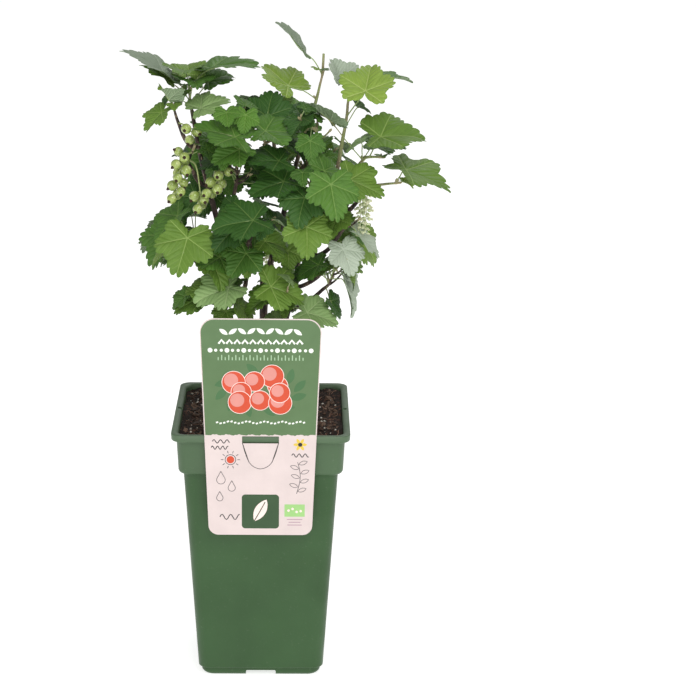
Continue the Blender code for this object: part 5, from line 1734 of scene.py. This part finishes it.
def hang_strings(bush, materials):
    """Young strings: pale beads of just-set fruit all round a thin thread."""
    dice = random.Random(STRING_SEED)
    gather = Gather()
    for name, share, drop, beads in RACEMES:
        start, _ = point_along(bush.twigs[name], share)
        drop = Vector(drop)
        elbow = start + Vector((drop.x, drop.y, 0.0)) * THREAD_OUT + UP * drop.z * STRING_DROP
        path = smooth_path([start, elbow, start + drop], 10)
        gather.add(sweep(path, np.linspace(*STRING_RADII, len(path)), 5), 0)
        run = run_along(path)
        for i in range(beads):
            at = run[-1] * (0.24 + 0.76 * i / (beads - 1))
            place = Vector([np.interp(at, run, path[:, k]) for k in range(3)])
            way = Vector((math.cos(i * TURN), math.sin(i * TURN), dice.uniform(-0.5, 0.1)))
            out = way.normalized()
            size = BEAD_RADIUS * (1.15 - 0.55 * i / beads) * dice.uniform(0.85, 1.1)
            centre = place + out * (size + 1.1)
            gather.add(sweep([place, place.lerp(centre, 0.5), centre], 0.25, 4), 0)
            gather.add(bead(centre, way, (size * 1.15, size), 8, 5)[0], 0)
            tip = centre + out * size * 1.9
            flower = sweep([centre, centre.lerp(tip, 0.6), tip],
                           (size * 0.6, size * 0.55, size * 0.8), 6)
            gather.add(flower, 1)
    return gather.mesh("young_strings", materials)


def label_half(height):
    """Half the label's width at a height, between its rounded corners."""
    low = LABEL_FOOT_Z + LABEL_FOOT_RADIUS
    share = (height - low) / (LABEL_TOP_Z - LABEL_TOP_RADIUS - low)
    return LABEL_FOOT_HALF + (LABEL_TOP_HALF - LABEL_FOOT_HALF) * share


def arc(centre, radius, start, end, steps=10):
    """Points on part of a circle in the card's plane, between two angles in degrees."""
    angles = np.radians(np.linspace(start, end, steps + 1))
    return [(centre[0] + radius * math.cos(a), centre[1] + radius * math.sin(a)) for a in angles]


def top_corners(half, top, radius):
    """The rounded upper corners of a card, from right to left."""
    return (arc((half - radius, top - radius), radius, 0, 90)
            + arc((radius - half, top - radius), radius, 90, 180))


def foot_corners(half, foot, radius):
    """The rounded lower corners of a card, from left to right."""
    return (arc((radius - half, foot + radius), radius, 180, 270)
            + arc((half - radius, foot + radius), radius, 270, 360))


def flat_shape(outlines, back, front):
    """A flat closed shape in the label's plane; the outlines after the first are holes."""
    curve = bpy.data.curves.new("flat", "CURVE")
    curve.dimensions = "2D"
    curve.fill_mode = "BOTH"
    curve.extrude = (back - front) / 2
    for outline in outlines:
        spline = curve.splines.new("POLY")
        spline.points.add(len(outline) - 1)
        for point, (x, y) in zip(spline.points, outline):
            point.co = (x, y, 0.0, 1.0)
        spline.use_cyclic_u = True
    item = bpy.data.objects.new("flat", curve)
    bm = bmesh.new()
    bm.from_mesh(item.to_mesh())
    item.to_mesh_clear()
    bmesh.ops.remove_doubles(bm, verts=bm.verts, dist=0.002)
    bmesh.ops.triangulate(bm, faces=bm.faces)
    bmesh.ops.recalc_face_normals(bm, faces=bm.faces)
    bm.verts.index_update()
    flat = np.array([vert.co for vert in bm.verts])
    faces = np.array([[vert.index for vert in face.verts] for face in bm.faces])
    bm.free()
    bpy.data.objects.remove(item)
    bpy.data.curves.remove(curve)
    return np.stack([flat[:, 0], (back + front) / 2 - flat[:, 2], flat[:, 1]], 1), faces


def stroke(line, width):
    """The outline of a drawn line."""
    line = np.array(line, float)
    way = np.gradient(line, axis=0)
    way /= np.linalg.norm(way, axis=1)[:, None]
    across = np.stack([-way[:, 1], way[:, 0]], 1) * width / 2
    return [tuple(point) for point in np.concatenate([line + across, (line - across)[::-1]])]


def leaf_outline(centre, length, width, turn):
    """A plain pointed leaf as a printer draws it."""
    turn = math.radians(turn)
    points = []
    for side in (1, -1):
        for step in range(9):
            share = step / 9 if side == 1 else 1 - step / 9
            ahead = (share - 0.5) * length
            aside = side * width / 2 * math.sin(math.pi * share) ** 0.8
            points.append((centre[0] + ahead * math.cos(turn) - aside * math.sin(turn),
                           centre[1] + ahead * math.sin(turn) + aside * math.cos(turn)))
    return points


def on_oval(turn, centre, across, up):
    """The place on an oval at a turn."""
    return centre[0] + across * math.cos(turn), centre[1] + up * math.sin(turn)


def label_prints():
    """The label's generic design, as outline, ink and layer, in mm across the card and up."""
    prints = []

    def put(ink, layer, *outlines):
        prints.extend((outline, ink, layer) for outline in outlines)

    edge = LABEL_BORDER
    half = label_half(PRINT_FOOT_Z) - edge
    wave = [(x, PRINT_FOOT_Z + 0.45 * math.sin(x * 0.62) + 0.3 * math.sin(x * 1.7))
            for x in np.linspace(-half, half, 60)]
    put("green", 1,
        top_corners(LABEL_TOP_HALF - edge, LABEL_TOP_Z - edge, LABEL_TOP_RADIUS - edge) + wave)
    for i in range(-4, 5):
        centre = (i * 7.6, 319.5 - 0.05 * i * i)
        put("white", 2, leaf_outline(centre, 8.4, 3.6, 35 if i % 2 else -35))
    for i in range(-5, 6):
        peak = [(i * 6.4 - 2.5, 308.6), (i * 6.4, 311.8), (i * 6.4 + 2.5, 308.6)]
        put("white", 2, stroke(peak, 1.7))
    for i in range(-9, 10):
        put("white", 2, arc((i * 4.6, 303.0), 1.3 if i % 3 else 2.0, 0, 342, 12))
    for i in range(-12, 13):
        x = i * 2.9
        put("pale_green", 2, stroke([(x, 294.5), (x, 297.0 + 2.0 * (i % 2))], 0.8))
    for i in range(12):
        turn = math.tau * i / 12 + 0.2
        place = on_oval(turn, (0.0, 269.0), 33.0, 18.0)
        put("leaf_ink", 2, leaf_outline(place, 14, 6.4, math.degrees(turn) + 35))
    for i in range(9):
        far, size = (1.0, 9.4) if i % 2 else (0.62, 8.2)
        x, z = on_oval(math.tau * i / 9 + 0.5, (0.0, 268.5), 26.0 * far, 13.5 * far)
        put("pale", 3 + i * 3, arc((x, z), size + 0.5, 0, 350, 30))
        put("coral", 4 + i * 3, arc((x, z), size, 0, 350, 30))
        put("rose", 5 + i * 3, arc((x - size * 0.22, z + size * 0.2), size * 0.62, 0, 345, 24))
    for i in range(-12, 13):
        rise = 240.5 + 0.9 * math.sin(i * 1.3)
        put("white", 2, stroke([(i * 3.0 - 0.9, rise), (i * 3.0 + 0.9, rise + 0.6)], 1.4))
    sun = (-25.0, 208.0)
    put("dark", 1, stroke(arc(sun, 4.4, 0, 360, 28), 0.6))
    put("coral", 1, arc(sun, 3.2, 0, 345, 20))
    for i in range(10):
        ray = [on_oval(math.tau * i / 10, sun, far, far) for far in (5.8, 8.0)]
        put("dark", 1, stroke(ray, 0.6))
    for x, z, beat in ((-40, 224.0, 1.1), (-41, 218.5, 1.4), (26, 212.0, 1.2)):
        curl = [(x + k * 0.95, z + 1.5 * math.sin(k * beat)) for k in range(16)]
        put("black", 1, stroke(smooth_path(curl, 3), 0.75))
    flower = (33.0, 221.5)
    for i in range(6):
        turn = math.tau * i / 6
        petal = on_oval(turn, flower, 3.2, 3.2)
        put("yellow", 1, leaf_outline(petal, 5.2, 2.6, math.degrees(turn)))
    put("black", 2, arc(flower, 1.8, 0, 342, 14))
    for x, z, size in ((-33, 190, 1.2), (-24, 183, 1.0), (-34, 174, 0.9)):
        tip = (x, z + 6.4 * size)
        drop = [tip, *arc((x, z), 3.0 * size, 28, -208, 18), tip]
        put("dark", 1, stroke(drop[:11], 0.5), stroke(drop[10:], 0.5))
    stem = [(31 + 2.2 * math.sin(k / 4), 206 - k * 2.0) for k in range(15)]
    put("dark", 1, stroke(stem, 0.5))
    for k in range(1, 14, 2):
        side = 1 if k % 4 == 1 else -1
        outline = leaf_outline((stem[k][0] + side * 4.0, stem[k][1] + 1.4), 7.4, 3.2, 20 * side)
        put("dark", 1, stroke(outline + outline[:1], 0.45))
    put("deep_green", 1, top_corners(15.6, 177.2, 3) + foot_corners(15.6, 146.8, 3))
    put("pale", 2, leaf_outline((0.0, 163.0), 22, 9.8, 62))
    put("deep_green", 3, stroke([(-5.9, 152.0), (0.0, 163.0), (4.0, 170.6)], 0.8))
    put("lime", 1, [(20.2, 168.5), (20.2, 157.5), (37.2, 157.5), (37.2, 168.5)])
    for i in range(4):
        put("pale", 2, arc((23.6 + 3.4 * i, 163.0 + 1.6 * math.sin(i * 2.0)), 1.1, 0, 330, 10))
    for i, width in enumerate((13.0, 10.0, 12.0)):
        z = 155.0 - 2.5 * i
        put("mauve", 1, stroke([(28.7 - width / 2, z), (28.7 + width / 2, z)], 0.7))
    curl = [(-34 + k * 1.1, 157 + 2.4 * math.sin(k * 0.95)) for k in range(16)]
    put("black", 1, stroke(curl, 0.8))
    # Painted shadow: a dark line along the tongue's cut, where the gap of the die cut shows dark;
    # below the slits the cut exists only as this line.
    tongue = [(WINDOW_HALF - 0.3, WINDOW_FOOT_Z), (12.6, 213.5), (SLIT_FOOT_HALF, SLIT_FOOT_Z),
              (5.2, 201.6)]
    tongue = [(-x, z) for x, z in tongue] + [(0.0, 200.0)] + tongue[::-1]
    put("dark", 1, stroke(smooth_path(tongue, 4), 0.55))
    return prints


def label_mesh(materials):
    """The card with its window, its tongue and its printed design."""
    outline = (top_corners(LABEL_TOP_HALF, LABEL_TOP_Z, LABEL_TOP_RADIUS)
               + foot_corners(LABEL_FOOT_HALF, LABEL_FOOT_Z, LABEL_FOOT_RADIUS))
    right = [(WINDOW_HALF, WINDOW_TOP_Z), (WINDOW_HALF, WINDOW_FOOT_Z),
             (SLIT_FOOT_HALF + SLIT_WIDTH, SLIT_FOOT_Z), (SLIT_FOOT_HALF, SLIT_FOOT_Z),
             (WINDOW_HALF - SLIT_WIDTH, WINDOW_FOOT_Z)]
    window = right + [(-x, z) for x, z in reversed(right)]
    back = -(LIP_HALF + GAP)
    front = back - LABEL_THICKNESS
    names = list(materials)
    gather = Gather()
    gather.add(flat_shape([outline, window], back, front), names.index("card"))
    for printed, ink, layer in label_prints():
        shape = flat_shape([printed], front + PRINT_THICKNESS, front - PRINT_THICKNESS * layer)
        gather.add(shape, names.index(ink))
    return gather.mesh("plant_label", materials.values())


GROWN = {}


def the_bush(shoots):
    """The grown shrub, grown once for all the operators that dress it."""
    if shoots not in GROWN:
        GROWN[shoots] = grow_bush(shoots)
    return GROWN[shoots]


class BUSH_OT_stage(bpy.types.Operator):
    """Lay the pale floor, hang the soft lights and set up the camera"""
    bl_idname = "bush.stage"
    bl_label = "Stage"

    def execute(self, context):
        bpy.ops.mesh.primitive_plane_add(size=FLOOR_SIZE)
        floor = context.object
        floor.name = "floor"
        floor.data.materials.append(pale_floor(context.scene.bush_colours.floor))
        for name, place, size, power in LIGHTS:
            data = bpy.data.lights.new(name, "AREA")
            data.size = size
            data.energy = power
            light = bpy.data.objects.new(name, data)
            light.location = place
            aim = Vector(LIGHT_AIM) - light.location
            light.rotation_euler = aim.to_track_quat("-Z", "Y").to_euler()
            context.scene.collection.objects.link(light)
        world = bpy.data.worlds.new("studio")
        world.use_nodes = True
        background = world.node_tree.nodes["Background"]
        background.inputs["Color"].default_value = (1.0, 1.0, 1.0, 1.0)
        seen = add_node(world.node_tree, "ShaderNodeLightPath").outputs["Is Camera Ray"]
        strength = ranged(world.node_tree, seen, 0.0, 1.0, WORLD_STRENGTH, 1.0)
        world.node_tree.links.new(strength, background.inputs["Strength"])
        context.scene.world = world
        context.scene.view_settings.view_transform = "Standard"
        flat = math.cos(CAMERA_TILT)
        ahead = Vector((math.sin(CAMERA_TURN) * flat, math.cos(CAMERA_TURN) * flat,
                        -math.sin(CAMERA_TILT)))
        right = ahead.cross(UP).normalized()
        up = right.cross(ahead)
        rolled = Matrix((right * math.cos(CAMERA_ROLL) + up * math.sin(CAMERA_ROLL),
                         up * math.cos(CAMERA_ROLL) - right * math.sin(CAMERA_ROLL), -ahead))
        data = bpy.data.cameras.new("camera")
        data.lens = CAMERA_LENS
        camera = bpy.data.objects.new("camera", data)
        place = Matrix.Translation(Vector(CAMERA_PLACE) * MM)
        camera.matrix_world = place @ rolled.transposed().to_4x4()
        context.scene.collection.objects.link(camera)
        context.scene.camera = camera
        return {"FINISHED"}


class BUSH_OT_pot(bpy.types.Operator):
    """Mould the square nursery pot"""
    bl_idname = "bush.pot"
    bl_label = "Pot"

    def execute(self, context):
        material = moulded_polypropylene(context.scene.bush_colours.pot)
        add_piece("nursery_pot", pot_mesh(material), ["pot"])
        return {"FINISHED"}


class BUSH_OT_soil(bpy.types.Operator):
    """Fill the pot with peat, and strew chips, fibres and perlite on it"""
    bl_idname = "bush.soil"
    bl_label = "Soil"

    def execute(self, context):
        filling = Gather()
        filling.add(soil_shape())
        mesh = filling.mesh("peat", [peat_mix(context.scene.bush_colours.peat)])
        add_piece("peat", mesh, ["soil"])
        dice = random.Random(SOIL_SEED)
        for name, bit_shape, count, shades in (
                ("bark_chips", chip_shape, context.scene.bush_sizes.chips, CHIP_SHADES),
                ("peat_fibres", fibre_shape, FIBRE_COUNT, FIBRE_SHADES),
                ("perlite", perlite_shape, PERLITE_COUNT, PERLITE_SHADES)):
            bits = strew(bit_shape, count, dice)
            add_piece(name, bits.mesh(name, [strewn(name + "_skin", shades, 1.6, 0.85)]))
        return {"FINISHED"}


class BUSH_OT_wood(bpy.types.Operator):
    """Grow the trunk, the stems and the boughs with their bark"""
    bl_idname = "bush.wood"
    bl_label = "Wood"

    def execute(self, context):
        colours = context.scene.bush_colours
        limbs = the_bush(context.scene.bush_sizes.shoots).limbs
        mesh = wood_mesh(limbs, currant_bark(colours.bark, colours.young_bark))
        add_piece("shrub_wood", mesh, ["trunk", *limbs])
        return {"FINISHED"}


class BUSH_OT_stalks(bpy.types.Operator):
    """Grow the twigs, the side shoots, the leaf stalks and the buds"""
    bl_idname = "bush.stalks"
    bl_label = "Stalks"

    def execute(self, context):
        colours = context.scene.bush_colours
        sizes = context.scene.bush_sizes
        materials = [petiole_skin(colours.stalk), currant_bark(colours.bark, colours.young_bark),
                     plain_growth("bud_scales", "8A7A5E", "B9B48A", 1.2, 0.6)]
        add_piece("stalks", stalks_mesh(the_bush(sizes.shoots), sizes, materials))
        return {"FINISHED"}


class BUSH_OT_leaves(bpy.types.Operator):
    """Grow the toothed leaves, one joined piece to each mass of leaves"""
    bl_idname = "bush.leaves"
    bl_label = "Leaves"

    def execute(self, context):
        sizes = context.scene.bush_sizes
        bush = the_bush(sizes.shoots)
        dice = random.Random(LEAF_SEED)
        patterns = [leaf_pattern(dice) for _ in range(PATTERN_COUNT)]
        materials = leaf_materials()
        for mass in MASSES:
            mesh = leaves_mesh(mass, bush, sizes, patterns, materials)
            add_piece(mesh.name, mesh, ["foliage_" + mass.name])
        return {"FINISHED"}


class BUSH_OT_fruit(bpy.types.Operator):
    """Hang the trusses of unripe berries and the pale young strings"""
    bl_idname = "bush.fruit"
    bl_label = "Fruit"

    def execute(self, context):
        sizes = context.scene.bush_sizes
        bush = the_bush(sizes.shoots)
        thread = plain_growth("strig_skin", "93A45F", "B3BD7E", 2.0, 0.5)
        tuft = plain_growth("calyx_tuft", "24180F", "4C3826", 0.8, 0.85)
        skin = berry_skin(context.scene.bush_colours.berry)
        add_piece("berries", hang_berries(bush, sizes, [skin, thread, tuft]))
        young = plain_growth("young_fruit", "CBD5A4", "E0E6C4", 1.5, 0.45)
        petal = plain_growth("withered_petal", "D2D2A8", "E6E4C6", 1.0, 0.7)
        add_piece("young_strings", hang_strings(bush, [young, petal]))
        return {"FINISHED"}


class BUSH_OT_label(bpy.types.Operator):
    """Cut the plant label and print its plain design"""
    bl_idname = "bush.label"
    bl_label = "Label"

    def execute(self, context):
        colours = context.scene.bush_colours
        inks = {"card": colours.card, "green": colours.print_green, "coral": colours.print_coral}
        inks.update((name, linear_rgb(ink)) for name, ink in INKS.items())
        materials = {name: printed_card("label_" + name, ink) for name, ink in inks.items()}
        add_piece("plant_label", label_mesh(materials), ["label"])
        return {"FINISHED"}


OPERATORS = (BUSH_OT_stage, BUSH_OT_pot, BUSH_OT_soil, BUSH_OT_wood, BUSH_OT_stalks,
             BUSH_OT_leaves, BUSH_OT_fruit, BUSH_OT_label)


class BUSH_PT_panel(bpy.types.Panel):
    """Sizes, colours and the making of the bush"""
    bl_idname = "BUSH_PT_panel"
    bl_label = "Potted Currant Bush"
    bl_space_type = "VIEW_3D"
    bl_region_type = "UI"
    bl_category = "Bush"

    def draw(self, context):
        for group in (context.scene.bush_sizes, context.scene.bush_colours):
            for name in group.__annotations__:
                self.layout.prop(group, name)
        for operator in OPERATORS:
            self.layout.operator(operator.bl_idname)


CLASSES = (BushSizes, BushColours, *OPERATORS, BUSH_PT_panel)


def register():
    for item in CLASSES:
        bpy.utils.register_class(item)
    bpy.types.Scene.bush_sizes = PointerProperty(type=BushSizes)
    bpy.types.Scene.bush_colours = PointerProperty(type=BushColours)


def unregister():
    del bpy.types.Scene.bush_colours
    del bpy.types.Scene.bush_sizes
    for item in reversed(CLASSES):
        bpy.utils.unregister_class(item)


def main():
    register()
    for operator in OPERATORS:
        group, name = operator.bl_idname.split(".")
        getattr(getattr(bpy.ops, group), name)()
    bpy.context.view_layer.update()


if __name__ == "__main__":
    main()
